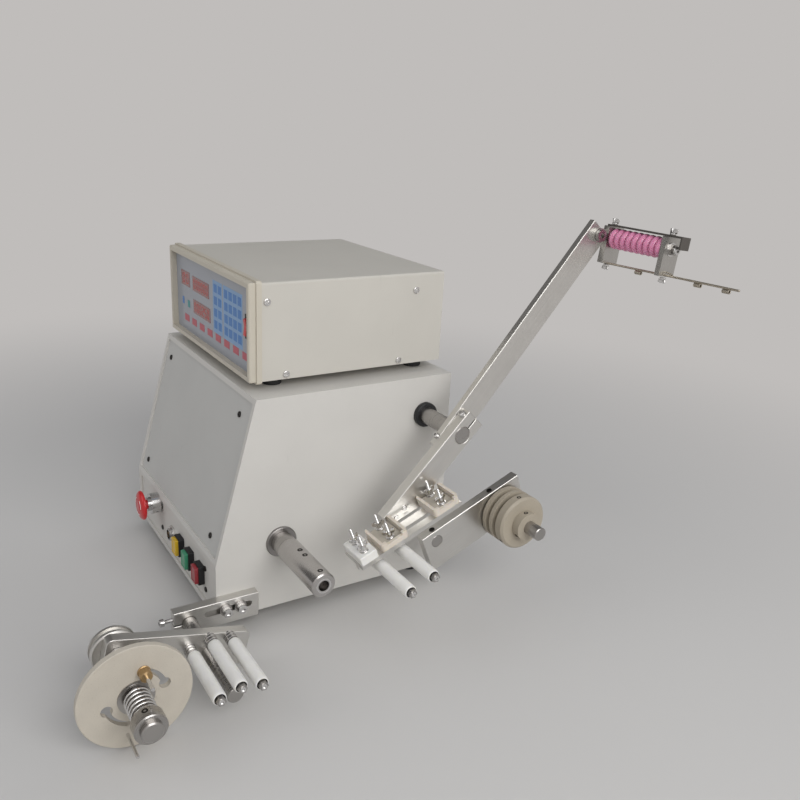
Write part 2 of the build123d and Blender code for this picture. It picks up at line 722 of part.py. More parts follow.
with BuildPart() as wire_guards:
    for guard_s in GUARD_S:
        with BuildSketch(head_top(guard_s + GUARD_W / 2, HEAD_W / 2)):
            RectangleRounded(GUARD_W, HEAD_W, 4)
            with Locations((0, GUARD_WALL)):
                Rectangle(GUARD_W - 2 * GUARD_WALL, HEAD_W, mode=Mode.SUBTRACT)
        extrude(amount=GUARD_H)
        with BuildSketch(head_top(guard_s + GUARD_W / 2, HEAD_W / 2, GUARD_LIP)):
            Rectangle(GUARD_W - 4 * GUARD_WALL, HEAD_W)
        extrude(amount=GUARD_H, mode=Mode.SUBTRACT)
keep(wire_guards, "wire_guards")

with BuildPart() as felt_pads:
    for guard_s in GUARD_S:
        with BuildSketch(head_top(guard_s + GUARD_W / 2, HEAD_W / 2)):
            with Locations((0, (GUARD_WALL + GAP) / 2)):
                Rectangle(GUARD_W - 2 * GUARD_WALL - 2 * GAP, HEAD_W - GUARD_WALL - GAP)
        extrude(amount=PAD_T)
keep(felt_pads, "felt_pads")

with BuildPart() as thumb_screws:
    screw_spots = [(BLOCK_S + BLOCK_W / 2, across, BLOCK_H) for across in BLOCK_SCREWS]
    for guard_s in GUARD_S:
        screw_spots += [(guard_s + GUARD_W / 2, across, PAD_T) for across in GUARD_SCREWS]
    for spot_s, spot_x, spot_h in screw_spots:
        with BuildSketch(head_top(spot_s, spot_x, spot_h)):
            Circle(STUD_R)
        extrude(amount=STUD_H)
        with BuildSketch(head_top(spot_s, spot_x, spot_h)):
            RegularPolygon(KNOB_R + 0.6, 6)
        extrude(amount=3)
        with BuildSketch(head_top(spot_s, spot_x, spot_h + 6)):
            Circle(KNOB_R)
        extrude(amount=5)
keep(thumb_screws, "thumb_screws")

# ================================================================ wire rollers
roller_x = head_x + WEB_T + GUIDE_SPACER
guide_pins = [head_plane.from_local_coords((s, -ROLLER_DROP, 0)) for s in ROLLER_S]
with BuildPart() as guide_roller_pins:
    for pin in guide_pins:
        with BuildSketch(side(head_x + WEB_T)):
            with Locations((pin.Y, pin.Z)):
                Circle(ROLLER_PIN_R)
        extrude(amount=roller_x + ROLLER_L + NUT_T - head_x - WEB_T)
        with BuildSketch(side(head_x + WEB_T)):
            with Locations((pin.Y, pin.Z)):
                Circle(SPACER_R)
        extrude(amount=roller_x - GAP - head_x - WEB_T)
        with BuildSketch(side(roller_x + ROLLER_L + GAP)):
            with Locations((pin.Y, pin.Z)):
                RegularPolygon(NUT_R, 6)
        extrude(amount=NUT_T)
keep(guide_roller_pins, "guide_roller_pins")


def wire_roller(centre_y, centre_z, start_x, label):
    """White roller, rounded at both ends, that turns on a fixed pin along X."""
    with BuildPart() as roller:
        with BuildSketch(side(start_x)):
            with Locations((centre_y, centre_z)):
                Circle(ROLLER_R)
        extrude(amount=ROLLER_L)
        fillet(roller.edges(), 1.2)
        with BuildSketch(side(start_x)):
            with Locations((centre_y, centre_z)):
                Circle(ROLLER_PIN_R + RUN)
        extrude(amount=ROLLER_L, mode=Mode.SUBTRACT)
    keep(roller, label)


for number, pin in enumerate(guide_pins, start=1):
    wire_roller(pin.Y, pin.Z, roller_x, f"guide_roller_{number}")

# ================================================================ grooved pulley
with BuildPart() as plate_rod:
    with BuildSketch(side(wall_in - ROD_FLANGE_T)):
        with Locations((PLATE_ROD_Y, PLATE_ROD_Z)):
            Circle(PLATE_ROD_R)
    extrude(amount=PLATE_FRONT_X - wall_in + ROD_FLANGE_T)
    with BuildSketch(side(wall_in - ROD_FLANGE_T)):
        with Locations((PLATE_ROD_Y, PLATE_ROD_Z)):
            Circle(ROD_FLANGE_R)
    extrude(amount=ROD_FLANGE_T)
    chamfer(plate_rod.edges().group_by(Axis.X)[-1], 0.6)
keep(plate_rod, "plate_rod")

pulley_plane = tilted(PLATE_FRONT_X - PLATE_T, PLATE_ROD_Y, PLATE_ROD_Z, PLATE_TILT)
pulley_centre = pulley_plane.from_local_coords((PULLEY_REACH, -PULLEY_DROP, 0))
with BuildPart() as pulley_plate:
    with BuildSketch(pulley_plane):
        with Locations(((PLATE_L - PLATE_TAIL) / 2, -PLATE_DROP)):
            Rectangle(PLATE_L + PLATE_TAIL, PLATE_W)
        Circle(PLATE_ROD_R + RUN, mode=Mode.SUBTRACT)
        with Locations((PULLEY_REACH, -PULLEY_DROP)):
            Circle(PULLEY_AXLE_R, mode=Mode.SUBTRACT)
    extrude(amount=PLATE_T)
    plate_face = pulley_plate.faces().filter_by(Axis.X).sort_by(Axis.X)[-1]
    chamfer(plate_face.outer_wire().edges(), 0.6)
keep(pulley_plate, "pulley_plate")

with BuildPart() as pulley_axle:
    with BuildSketch(side(PLATE_FRONT_X - PLATE_T)):
        with Locations((pulley_centre.Y, pulley_centre.Z)):
            Circle(PULLEY_AXLE_R)
    extrude(amount=PULLEY_AXLE_END - PLATE_FRONT_X + PLATE_T)
    chamfer(pulley_axle.edges().group_by(Axis.X)[-1], 0.8)
keep(pulley_axle, "pulley_axle")

pulley_x = PLATE_FRONT_X + 2.0
pulley_w = 2 * PULLEY_FLANGE + 2 * PULLEY_GROOVE + PULLEY_FRONT
with BuildPart() as grooved_pulley:
    with BuildSketch(Plane(origin=(pulley_x, pulley_centre.Y, pulley_centre.Z),
                           x_dir=(1, 0, 0), z_dir=(0, -1, 0))):
        with BuildLine():
            groove_1 = PULLEY_FLANGE
            groove_2 = 2 * PULLEY_FLANGE + PULLEY_GROOVE
            bore = PULLEY_AXLE_R + RUN
            Polyline((0, bore), (0, PULLEY_R), (groove_1, PULLEY_R))
            root_r = PULLEY_GROOVE / 2 - GROOVE_DRAFT
            shoulder = PULLEY_GROOVE_R + root_r
            for start in (groove_1, groove_2):
                end = start + PULLEY_GROOVE
                Line((start, PULLEY_R), (start + GROOVE_DRAFT, shoulder))
                ThreePointArc((start + GROOVE_DRAFT, shoulder),
                              (start + PULLEY_GROOVE / 2, PULLEY_GROOVE_R),
                              (end - GROOVE_DRAFT, shoulder))
                Line((end - GROOVE_DRAFT, shoulder), (end, PULLEY_R))
            Line((groove_2 - PULLEY_FLANGE, PULLEY_R), (groove_2, PULLEY_R))
            Polyline((pulley_w - PULLEY_FRONT, PULLEY_R), (pulley_w - PULLEY_BEVEL, PULLEY_R),
                     (pulley_w, PULLEY_R - PULLEY_BEVEL), (pulley_w, PULLEY_HUB_R),
                     (pulley_w + PULLEY_HUB, PULLEY_HUB_R), (pulley_w + PULLEY_HUB, bore), (0, bore))
        make_face()
    revolve(axis=Axis((0, pulley_centre.Y, pulley_centre.Z), (1, 0, 0)))
keep(grooved_pulley, "grooved_pulley")

# ================================================================ tension carrier
carrier_mid_y = sum(CARRIER_Y) / 2
carrier_mid_z = sum(CARRIER_Z) / 2
slot_mid_y = sum(CARRIER_SLOT_Y) / 2
with BuildPart() as slotted_block:
    with BuildSketch(side(half_w + RUN)):
        with Locations((carrier_mid_y, carrier_mid_z)):
            Rectangle(CARRIER_Y[1] - CARRIER_Y[0], CARRIER_Z[1] - CARRIER_Z[0])
        with Locations((slot_mid_y, CARRIER_SLOT_Z)):
            SlotOverall(CARRIER_SLOT_Y[1] - CARRIER_SLOT_Y[0], CARRIER_SLOT_W, mode=Mode.SUBTRACT)
        with Locations((SHAFT_Y, SHAFT_Z)):
            Circle(SHAFT_R, mode=Mode.SUBTRACT)
        with Locations(((CARRIER_Y[0] + SHAFT_Y) / 2, SHAFT_Z)):
            Rectangle(SHAFT_Y - CARRIER_Y[0], SLIT_W, mode=Mode.SUBTRACT)
    extrude(amount=CARRIER_T)
    carrier_face = slotted_block.faces().filter_by(Axis.X).sort_by(Axis.X)[-1]
    chamfer(carrier_face.outer_wire().edges(), 0.6)
keep(slotted_block, "slotted_block")

with BuildPart() as carrier_screws:
    for screw_y in CARRIER_SCREW_Y:
        with BuildSketch(side(half_w)):
            with Locations((screw_y, CARRIER_SLOT_Z)):
                Circle(CARRIER_SCREW_R)
        extrude(amount=CARRIER_T + GAP)
        with BuildSketch(side(half_w + CARRIER_T + GAP)):
            with Locations((screw_y, CARRIER_SLOT_Z)):
                Circle(CARRIER_SCREW_R * 2.3)
        extrude(amount=1.6)
        with BuildSketch(side(half_w + CARRIER_T + GAP + 1.6)):
            with Locations((screw_y, CARRIER_SLOT_Z)):
                Circle(CARRIER_SCREW_R * 1.7)
                RegularPolygon(CARRIER_SCREW_R * 0.9, 6, mode=Mode.SUBTRACT)
        extrude(amount=6)
keep(carrier_screws, "carrier_screws")

with BuildPart() as tension_shaft:
    with BuildSketch(side(half_w + GAP)):
        with Locations((SHAFT_Y, SHAFT_Z)):
            Circle(SHAFT_R)
    extrude(amount=SHAFT_END - half_w - GAP)
    chamfer(tension_shaft.edges().group_by(Axis.X)[-1], 0.8)
keep(tension_shaft, "tension_shaft")

# ================================================================ tension bar
tbar_plane = tilted(TBAR_X, SHAFT_Y, SHAFT_Z, TBAR_TILT)
reel = tbar_plane.from_local_coords((-REEL_REACH, REEL_RISE, 0))
tbar_front = TBAR_X + TBAR_T
with BuildPart() as tension_bar:
    with BuildSketch(tbar_plane):
        with Locations(((TBAR_TAIL - TBAR_L) / 2, TBAR_RISE)):
            RectangleRounded(TBAR_TAIL + TBAR_L, TBAR_H, 6)
        Circle(SHAFT_R + RUN, mode=Mode.SUBTRACT)
        with Locations((-REEL_REACH, REEL_RISE)):
            Circle(REEL_R + RUN, mode=Mode.SUBTRACT)
    extrude(amount=TBAR_T)
    tbar_face = tension_bar.faces().filter_by(Axis.X).sort_by(Axis.X)[-1]
    chamfer(tbar_face.outer_wire().edges(), 0.6)
keep(tension_bar, "tension_bar")

troller_x = tbar_front + TENSION_SPACER
with BuildPart() as tension_roller_pins:
    for pin_y, pin_z in TROLLER_YZ:
        with BuildSketch(side(tbar_front)):
            with Locations((pin_y, pin_z)):
                Circle(ROLLER_PIN_R)
        extrude(amount=troller_x + ROLLER_L + NUT_T - tbar_front)
        with BuildSketch(side(tbar_front)):
            with Locations((pin_y, pin_z)):
                Circle(SPACER_R)
        extrude(amount=troller_x - GAP - tbar_front)
        with BuildSketch(side(troller_x + ROLLER_L + GAP)):
            with Locations((pin_y, pin_z)):
                RegularPolygon(NUT_R, 6)
        extrude(amount=NUT_T)
keep(tension_roller_pins, "tension_roller_pins")

for number, (pin_y, pin_z) in enumerate(TROLLER_YZ, start=1):
    wire_roller(pin_y, pin_z, troller_x, f"tension_roller_{number}")

# ================================================================ wire reel spindle
drum_x = TBAR_X - GAP - DRUM_W
with BuildPart() as reel_axle:
    with BuildSketch(side(REEL_TAIL_X)):
        with Locations((reel.Y, reel.Z)):
            Circle(REEL_R)
    extrude(amount=REEL_END - REEL_TAIL_X)
    with BuildSketch(side(tbar_front + GAP)):
        with Locations((reel.Y, reel.Z)):
            Circle(REEL_SHOULDER_R)
    extrude(amount=DISC_X - tbar_front - GAP)
    chamfer(reel_axle.edges().group_by(Axis.X)[-1], 1.2)
keep(reel_axle, "reel_axle")

with BuildPart() as brake_drum:
    with BuildSketch(Plane(origin=(drum_x, reel.Y, reel.Z), x_dir=(1, 0, 0), z_dir=(0, -1, 0))):
        with BuildLine():
            front_rim = DRUM_W - DRUM_BEVEL - DRUM_RIM
            Polyline((0, REEL_R), (0, DRUM_R), (DRUM_RIM, DRUM_R), (DRUM_RIM, DRUM_WAIST_R),
                     (front_rim, DRUM_WAIST_R), (front_rim, DRUM_R), (DRUM_W - DRUM_BEVEL, DRUM_R),
                     (DRUM_W, DRUM_R - DRUM_BEVEL), (DRUM_W, REEL_R), close=True)
        make_face()
    revolve(axis=Axis((0, reel.Y, reel.Z), (1, 0, 0)))
keep(brake_drum, "brake_drum")

with BuildPart() as reel_disc:
    with BuildSketch(Plane(origin=(DISC_X, reel.Y, reel.Z), x_dir=(0, 1, 0), z_dir=(1, 0, 0))):
        Circle(DISC_R)
        Circle(REEL_R, mode=Mode.SUBTRACT)
        for turn in (0, 180):
            with BuildLine() as slot_path:
                CenterArc((0, 0), KEYHOLE_R, KEYHOLE_FROM + turn, KEYHOLE_TO - KEYHOLE_FROM)
            SlotArc(slot_path.edges()[0], KEYHOLE_W, mode=Mode.SUBTRACT)
            with PolarLocations(KEYHOLE_R, 1, start_angle=KEYHOLE_FROM + turn):
                Circle(KEYHOLE_EYE_R, mode=Mode.SUBTRACT)
    extrude(amount=DISC_T)
    fillet(reel_disc.faces().sort_by(Axis.X)[-1].outer_wire().edges(), 1.0)
keep(reel_disc, "reel_disc")

with BuildPart() as spring_collar:
    with BuildSketch(side(COLLAR_X)):
        with Locations((reel.Y, reel.Z)):
            Circle(COLLAR_R)
    extrude(amount=COLLAR_T)
    chamfer(spring_collar.edges(), 1.0)
    with BuildSketch(side(COLLAR_X)):
        with Locations((reel.Y, reel.Z)):
            Circle(REEL_R)
    extrude(amount=COLLAR_T, mode=Mode.SUBTRACT)
    with BuildSketch(side(DISC_X + DISC_T)):
        with Locations((reel.Y, reel.Z)):
            Circle(WASHER_R)
            Circle(REEL_R, mode=Mode.SUBTRACT)
    extrude(amount=WASHER_T)
keep(spring_collar, "spring_collar")

# the spring: each half turn of the coil is two tangent arcs, ends cut square to the wire
coil_start = DISC_X + DISC_T + WASHER_T + SPRING_WIRE / 2 + GAP
coil_end = COLLAR_X - SPRING_WIRE / 2 - GAP
coil_rise = coil_end - coil_start
coil_steps = round(SPRING_TURNS * 4)
coil_pitch = coil_rise / SPRING_TURNS


def coil_point(turns):
    """Point on the coil's centre line after so many turns."""
    swing = 2 * math.pi * turns
    return Vector(
        coil_start + coil_pitch * turns,
        reel.Y + SPRING_MEAN_R * math.cos(swing),
        reel.Z + SPRING_MEAN_R * math.sin(swing),
    )


def coil_direction(turns):
    """Unit tangent of the coil's centre line after so many turns."""
    swing = 2 * math.pi * turns
    circumference = 2 * math.pi * SPRING_MEAN_R
    return Vector(
        coil_pitch,
        -circumference * math.sin(swing),
        circumference * math.cos(swing),
    ).normalized()


with BuildPart() as brake_spring:
    with BuildLine() as coil:
        for step in range(coil_steps):
            low, high = step / 4, (step + 1) / 4
            p0, p1 = coil_point(low), coil_point(high)
            t0, t1 = coil_direction(low), coil_direction(high)
            chord = p1 - p0
            along = chord.dot(t0 + t1)
            bend = 2 * (1 - t0.dot(t1))
            reach = (-along + math.sqrt(along ** 2 + bend * chord.dot(chord))) / bend
            corner_0 = p0 + t0 * reach
            corner_1 = p1 - t1 * reach
            joint = (corner_0 + corner_1) * 0.5
            TangentArc(p0, joint, tangent=t0)
            TangentArc(joint, p1, tangent=corner_1 - corner_0)
    with BuildSketch(Plane(coil_point(0), z_dir=coil_direction(0))):
        Circle(SPRING_WIRE / 2)
    sweep(path=coil.wires()[0])
keep(brake_spring, "brake_spring")
print("brake spring: least gap between turns", round(coil_pitch - SPRING_WIRE, 2), "mm")

# ================================================================ front controls
panel_face_y = FRONT_Y + SHEET


def front(x, y, z):
    """Plane facing the operator at a point of the front strip."""
    return Plane(origin=(x, y, z), x_dir=(1, 0, 0), z_dir=(0, -1, 0))


neck_y = FRONT_Y - ESTOP_NECK
with BuildPart() as estop_collar:
    with BuildSketch(front(ESTOP_X, FRONT_Y, ESTOP_Z)):
        Circle(ESTOP_COLLAR_R)
    extrude(amount=ESTOP_COLLAR_T)
    with BuildSketch(front(ESTOP_X, panel_face_y + ESTOP_BODY, ESTOP_Z)):
        Circle(ESTOP_NECK_R)
    extrude(amount=panel_face_y + ESTOP_BODY - neck_y)
    with BuildSketch(front(ESTOP_X, neck_y, ESTOP_Z)):
        Circle(ESTOP_STEM_R + RUN)
    extrude(amount=-ESTOP_BORE, mode=Mode.SUBTRACT)
keep(estop_collar, "estop_collar")

head_back_y = neck_y - ESTOP_TRAVEL - GAP
with BuildPart() as estop_head:
    with BuildSketch(front(ESTOP_X, neck_y + ESTOP_STEM, ESTOP_Z)):
        Circle(ESTOP_STEM_R)
    extrude(amount=neck_y + ESTOP_STEM - head_back_y)
    with BuildSketch(front(ESTOP_X, head_back_y, ESTOP_Z)):
        Circle(ESTOP_HEAD_R)
    extrude(amount=ESTOP_HEAD_T)
    fillet(estop_head.edges().group_by(Axis.Y)[0], 4)
    fillet(estop_head.edges().group_by(SortBy.LENGTH)[-1], 1.5)
keep(estop_head, "estop_head")

with BuildPart() as pedal_socket:
    with BuildSketch(front(SOCKET_X, panel_face_y, SOCKET_Z)):
        RegularPolygon(SOCKET_R + 2, 6)
    extrude(amount=SOCKET_NUT)
    with BuildSketch(front(SOCKET_X, panel_face_y + SOCKET_TAIL, SOCKET_Z)):
        Circle(SOCKET_R - 1)
    extrude(amount=SOCKET_TAIL + SOCKET_PROUD)
    with BuildSketch(front(SOCKET_X, panel_face_y - SOCKET_PROUD, SOCKET_Z)):
        Circle(SOCKET_POCKET_R)
    extrude(amount=-SOCKET_POCKET, mode=Mode.SUBTRACT)
keep(pedal_socket, "pedal_socket")

body_y = panel_face_y - BUTTON_PROUD
pocket_w = BUTTON_W - 2 * BUTTON_WALL
pocket_h = BUTTON_H - 2 * BUTTON_WALL
with BuildPart() as button_bodies:
    for button_x in BUTTON_X:
        with BuildSketch(front(button_x, panel_face_y, BUTTON_Z)):
            RectangleRounded(BUTTON_W, BUTTON_H, 1.5)
        extrude(amount=BUTTON_PROUD)
        with BuildSketch(front(button_x, panel_face_y, BUTTON_Z)):
            Rectangle(BUTTON_W - 2 * BUTTON_NECK, BUTTON_H - 2 * BUTTON_NECK)
        extrude(amount=-BUTTON_TAIL)
        with BuildSketch(front(button_x, body_y, BUTTON_Z)):
            Rectangle(pocket_w, pocket_h)
        extrude(amount=-BUTTON_INSERT - BUTTON_TRAVEL - GAP, mode=Mode.SUBTRACT)
keep(button_bodies, "button_bodies")

for colour, button_x in zip(("yellow", "green", "red"), BUTTON_X):
    with BuildPart() as button_cap:
        with BuildSketch(front(button_x, body_y + BUTTON_INSERT, BUTTON_Z)):
            RectangleRounded(pocket_w - 2 * GAP, pocket_h - 2 * GAP, 1)
        extrude(amount=2 * BUTTON_INSERT)
        fillet(button_cap.faces().sort_by(Axis.Y)[0].edges(), 0.8)
    keep(button_cap, f"button_{colour}")

# ================================================================ controller
ctrl_z = TOP_Z + CTRL_FOOT_H
ctrl_w = CTRL_X[1] - CTRL_X[0]
ctrl_d = CTRL_Y[1] - CTRL_Y[0]
ctrl_mid_x = sum(CTRL_X) / 2
ctrl_mid_y = sum(CTRL_Y) / 2
ctrl_mid_z = ctrl_z + CTRL_H / 2


def ctrl_front(y):
    """Plane facing the operator, centred on the controller's face."""
    return Plane(origin=(ctrl_mid_x, y, ctrl_mid_z), x_dir=(1, 0, 0), z_dir=(0, -1, 0))


with BuildPart() as controller_cover:
    with BuildSketch(ctrl_front(CTRL_Y[1])):
        Rectangle(ctrl_w, CTRL_H)
    extrude(amount=ctrl_d)
    fillet(controller_cover.edges().filter_by(Axis.Y).group_by(Axis.Z)[-1], 2.5)
    with BuildSketch(ctrl_front(CTRL_Y[1])):
        with Locations((0, -CTRL_SHEET)):
            Rectangle(ctrl_w - 2 * CTRL_SHEET, CTRL_H)
    extrude(amount=ctrl_d, mode=Mode.SUBTRACT)
keep(controller_cover, "controller_cover")

with BuildPart() as controller_base:
    with BuildSketch(Plane.XY.offset(ctrl_z)):
        with Locations((ctrl_mid_x, ctrl_mid_y)):
            Rectangle(ctrl_w - 2 * CTRL_SHEET, ctrl_d)
    extrude(amount=CTRL_SHEET)
    with BuildSketch(ctrl_front(CTRL_Y[1])):
        with Locations((0, -CTRL_SHEET / 2)):
            Rectangle(ctrl_w - 2 * CTRL_SHEET, CTRL_H - CTRL_SHEET)
    extrude(amount=CTRL_SHEET)
    with BuildSketch(Plane.XY.offset(TOP_Z)):
        with Locations((ctrl_mid_x, ctrl_mid_y)):
            with GridLocations(ctrl_w - 50, ctrl_d - 46, 2, 2):
                Circle(CTRL_FOOT_R)
    extrude(amount=CTRL_FOOT_H)
keep(controller_base, "controller_base")

bezel_w = ctrl_w + 2 * BEZEL_OVER
bezel_h = CTRL_H + 2 * BEZEL_OVER
with BuildPart() as controller_bezel:
    with BuildSketch(ctrl_front(CTRL_Y[0])):
        RectangleRounded(bezel_w, bezel_h, 3)
    extrude(amount=BEZEL_COLLAR)
    with BuildSketch(ctrl_front(CTRL_Y[0] - BEZEL_COLLAR)):
        RectangleRounded(bezel_w - 4, bezel_h - 4, 2)
    extrude(amount=BEZEL_DEPTH)
    chamfer(controller_bezel.faces().sort_by(Axis.Y)[0].edges(), 1.2)
    with BuildSketch(ctrl_front(CTRL_Y[0])):
        Rectangle(bezel_w - 2 * BEZEL_RIM, bezel_h - 2 * BEZEL_RIM)
    extrude(amount=BEZEL_COLLAR + BEZEL_DEPTH, mode=Mode.SUBTRACT)
keep(controller_bezel, "controller_bezel")

keypad_y = CTRL_Y[0] - BEZEL_COLLAR - BEZEL_DEPTH + KEYPAD_RECESS
rocker_dx = ROCKER_X - ctrl_mid_x
rocker_dz = ROCKER_Z - ctrl_mid_z
with BuildPart() as keypad_panel:
    with BuildSketch(ctrl_front(keypad_y + KEYPAD_T)):
        Rectangle(bezel_w - 2 * BEZEL_RIM, bezel_h - 2 * BEZEL_RIM)
        with Locations((rocker_dx, rocker_dz)):
            Rectangle(ROCKER_W, ROCKER_H, mode=Mode.SUBTRACT)
    extrude(amount=KEYPAD_T)
keep(keypad_panel, "keypad_panel")

with BuildPart() as rocker_housing:
    with BuildSketch(ctrl_front(keypad_y)):
        with Locations((rocker_dx, rocker_dz)):
            Rectangle(ROCKER_W + 3, ROCKER_H + 3)
    extrude(amount=1.2)
    with BuildSketch(ctrl_front(keypad_y)):
        with Locations((rocker_dx, rocker_dz)):
            Rectangle(ROCKER_W, ROCKER_H)
    extrude(amount=-14)
    with BuildSketch(ctrl_front(keypad_y - 1.2)):
        with Locations((rocker_dx, rocker_dz)):
            Rectangle(ROCKER_W - 2, ROCKER_H - 2)
    extrude(amount=-9, mode=Mode.SUBTRACT)
keep(rocker_housing, "rocker_housing")

rocker_pivot = keypad_y + 1.0
with BuildPart() as rocker:
    with BuildSketch(Plane(origin=(ROCKER_X - (ROCKER_W - 2) / 2 + GAP, rocker_pivot, ROCKER_Z),
                           x_dir=(0, 1, 0), z_dir=(1, 0, 0))):
        with BuildLine():
            Polyline((3, -5), (-2.5, -9.5), (-5.5, -9.0), (-4.2, 0), (-5.5, 9.0),
                     (-2.5, 9.5), (3, 5), close=True)
        make_face()
    extrude(amount=ROCKER_W - 2 - 2 * GAP)
keep(rocker, "rocker")
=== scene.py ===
import json
import math

import bmesh
import bpy
from mathutils import Matrix, Vector, noise


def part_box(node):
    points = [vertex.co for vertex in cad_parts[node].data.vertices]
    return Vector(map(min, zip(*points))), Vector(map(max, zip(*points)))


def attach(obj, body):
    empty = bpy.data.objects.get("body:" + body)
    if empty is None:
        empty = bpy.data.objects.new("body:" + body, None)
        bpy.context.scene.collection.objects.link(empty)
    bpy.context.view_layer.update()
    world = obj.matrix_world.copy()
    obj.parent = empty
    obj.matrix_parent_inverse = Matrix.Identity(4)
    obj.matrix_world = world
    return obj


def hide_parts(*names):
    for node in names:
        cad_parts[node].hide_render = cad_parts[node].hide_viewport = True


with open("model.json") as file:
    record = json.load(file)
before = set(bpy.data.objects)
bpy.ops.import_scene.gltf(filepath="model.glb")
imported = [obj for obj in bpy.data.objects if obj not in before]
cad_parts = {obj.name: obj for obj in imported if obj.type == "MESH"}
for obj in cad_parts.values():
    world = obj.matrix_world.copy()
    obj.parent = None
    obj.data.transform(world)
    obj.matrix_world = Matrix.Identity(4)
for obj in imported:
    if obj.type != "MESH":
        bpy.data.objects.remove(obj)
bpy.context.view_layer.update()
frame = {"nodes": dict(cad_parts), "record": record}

bodies = frame["record"]["behaviour"]["bodies"]
body_of = {node: body for body, nodes in bodies.items() for node in nodes}

X, Y, Z = Vector((1, 0, 0)), Vector((0, 1, 0)), Vector((0, 0, 1))
HEAD_LEAN = math.radians(22.0)
UNIT_LEAN = math.radians(-7.0)
ARM_LEAN = math.radians(49.6)
BAR_LEAN = math.radians(45.5)
PLATE_LEAN = math.radians(22.5)
TENSION_LEAN = math.radians(-13.6)


def low(node):
    """Lowest corner of a node in millimetres."""
    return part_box(node)[0] * 1000


def high(node):
    """Highest corner of a node in millimetres."""
    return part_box(node)[1] * 1000


def middle(node):
    """Middle of a node in millimetres."""
    return (low(node) + high(node)) / 2


def tone(red, green, blue):
    """Shader colour of a paint-chart colour given from 0 to 255."""
    chart = (red / 255, green / 255, blue / 255)
    return tuple(c / 12.92 if c < 0.04045 else ((c + 0.055) / 1.055) ** 2.4 for c in chart)


# ---------------------------------------------------------------- finishes
class Reading:
    """A socket's value in shader maths: each operator adds its Math node."""

    def __init__(self, finish, socket):
        self.finish, self.socket = finish, socket

    def maths(self, operation, *values):
        sockets = dict(enumerate(values))
        return self.finish.add("ShaderNodeMath", {"operation": operation}, sockets)

    def __add__(self, other):
        return self.maths("ADD", self, other)

    def __sub__(self, other):
        return self.maths("SUBTRACT", self, other)

    def __rsub__(self, other):
        return self.maths("SUBTRACT", other, self)

    def __mul__(self, other):
        return self.maths("MULTIPLY", self, other)

    __radd__, __rmul__ = __add__, __mul__

    def over(self, limit):
        return self.maths("GREATER_THAN", self, limit)


class Finish:
    """One finish; patterns are given by the size of their grain in millimetres."""

    def __init__(self, name, **fixed):
        self.material = bpy.data.materials.new(name)
        self.material.use_nodes = True
        self.tree = self.material.node_tree
        self.tree.nodes.clear()
        output = self.tree.nodes.new("ShaderNodeOutputMaterial")
        self.surface = self.tree.nodes.new("ShaderNodeBsdfPrincipled")
        self.tree.links.new(self.surface.outputs[0], output.inputs[0])
        self.place = self.add("ShaderNodeTexCoord", out="Object")
        for socket, value in fixed.items():
            self.surface.inputs[socket.replace("_", " ")].default_value = value

    def add(self, kind, settings=None, sockets=None, out=0):
        """Add a node: its settings first, then the values or links of its sockets."""
        node = self.tree.nodes.new(kind)
        for name, value in (settings or {}).items():
            if name != "stops":
                setattr(node, name, value)
                continue
            ramp = node.color_ramp.elements
            ramp[0].position, ramp[1].position = value[0][0], value[-1][0]
            for position, _ in value[1:-1]:
                ramp.new(position)
            for stop, (_, colour) in zip(ramp, value):
                stop.color = (*colour, 1)
        for name, value in (sockets or {}).items():
            if isinstance(value, Reading):
                self.tree.links.new(value.socket, node.inputs[name])
            elif hasattr(value, "__len__") and len(value) < len(node.inputs[name].default_value):
                node.inputs[name].default_value = (*value, 1)
            else:
                node.inputs[name].default_value = value
        return Reading(self, node.outputs[out])

    def grain(self, size, detail=3.0, lean=0.0, centre=(0, 0, 0)):
        """Noise whose grain has a size along each axis, leaned about X."""
        sizes = size if hasattr(size, "__len__") else (size, size, size)
        settings = {"vector_type": "TEXTURE"}
        sockets = {"Vector": self.place, "Location": centre, "Rotation": (lean, 0, 0),
                   "Scale": tuple(s / 1000 for s in sizes)}
        where = self.add("ShaderNodeMapping", settings, sockets)
        sockets = {"Vector": where, "Scale": 1.0, "Detail": detail}
        return self.add("ShaderNodeTexNoise", None, sockets)

    def radius(self, centre, axis="X"):
        """Distance in millimetres from a line along an axis."""
        scale = tuple(1000.0 * (letter != axis) for letter in "XYZ")
        offset = tuple(-c * s / 1000 for c, s in zip(centre, scale))
        where = self.add("ShaderNodeMapping", None, {"Vector": self.place, "Location": offset,
                                                     "Scale": scale})
        return self.add("ShaderNodeVectorMath", {"operation": "LENGTH"}, {0: where}, "Value")

    def between(self, amount, first, second):
        """A colour between two others."""
        sockets = {0: amount, 6: first, 7: second}
        return self.add("ShaderNodeMix", {"data_type": "RGBA"}, sockets, 2)

    def relief(self, height, depth, strength=1.0):
        """Normal of a relief some millimetres deep."""
        sockets = {"Height": height, "Distance": depth / 1000, "Strength": strength}
        return self.add("ShaderNodeBump", None, sockets)

    def done(self, **readings):
        for name, reading in readings.items():
            self.tree.links.new(reading.socket, self.surface.inputs[name.replace("_", " ")])
        return self.material


def painted(name, colour, texture=0.9, gloss=0.42):
    """Powder paint over sheet metal, with a fine orange-peel texture."""
    paint = Finish(name, Specular_IOR_Level=0.4)
    broad, peel = paint.grain(70), paint.grain(texture, 2)
    deep, pale = (tone(*(c * k for c in colour)) for k in (0.965, 1.01))
    marks = paint.grain((9, 9, 60), 5).over(0.72)
    worn = paint.between(marks * 0.05, paint.between(broad, deep, pale), tone(120, 116, 110))
    return paint.done(Base_Color=worn, Roughness=gloss + 0.12 * peel + 0.05 * broad,
                      Normal=paint.relief(peel, 0.12, 0.35))


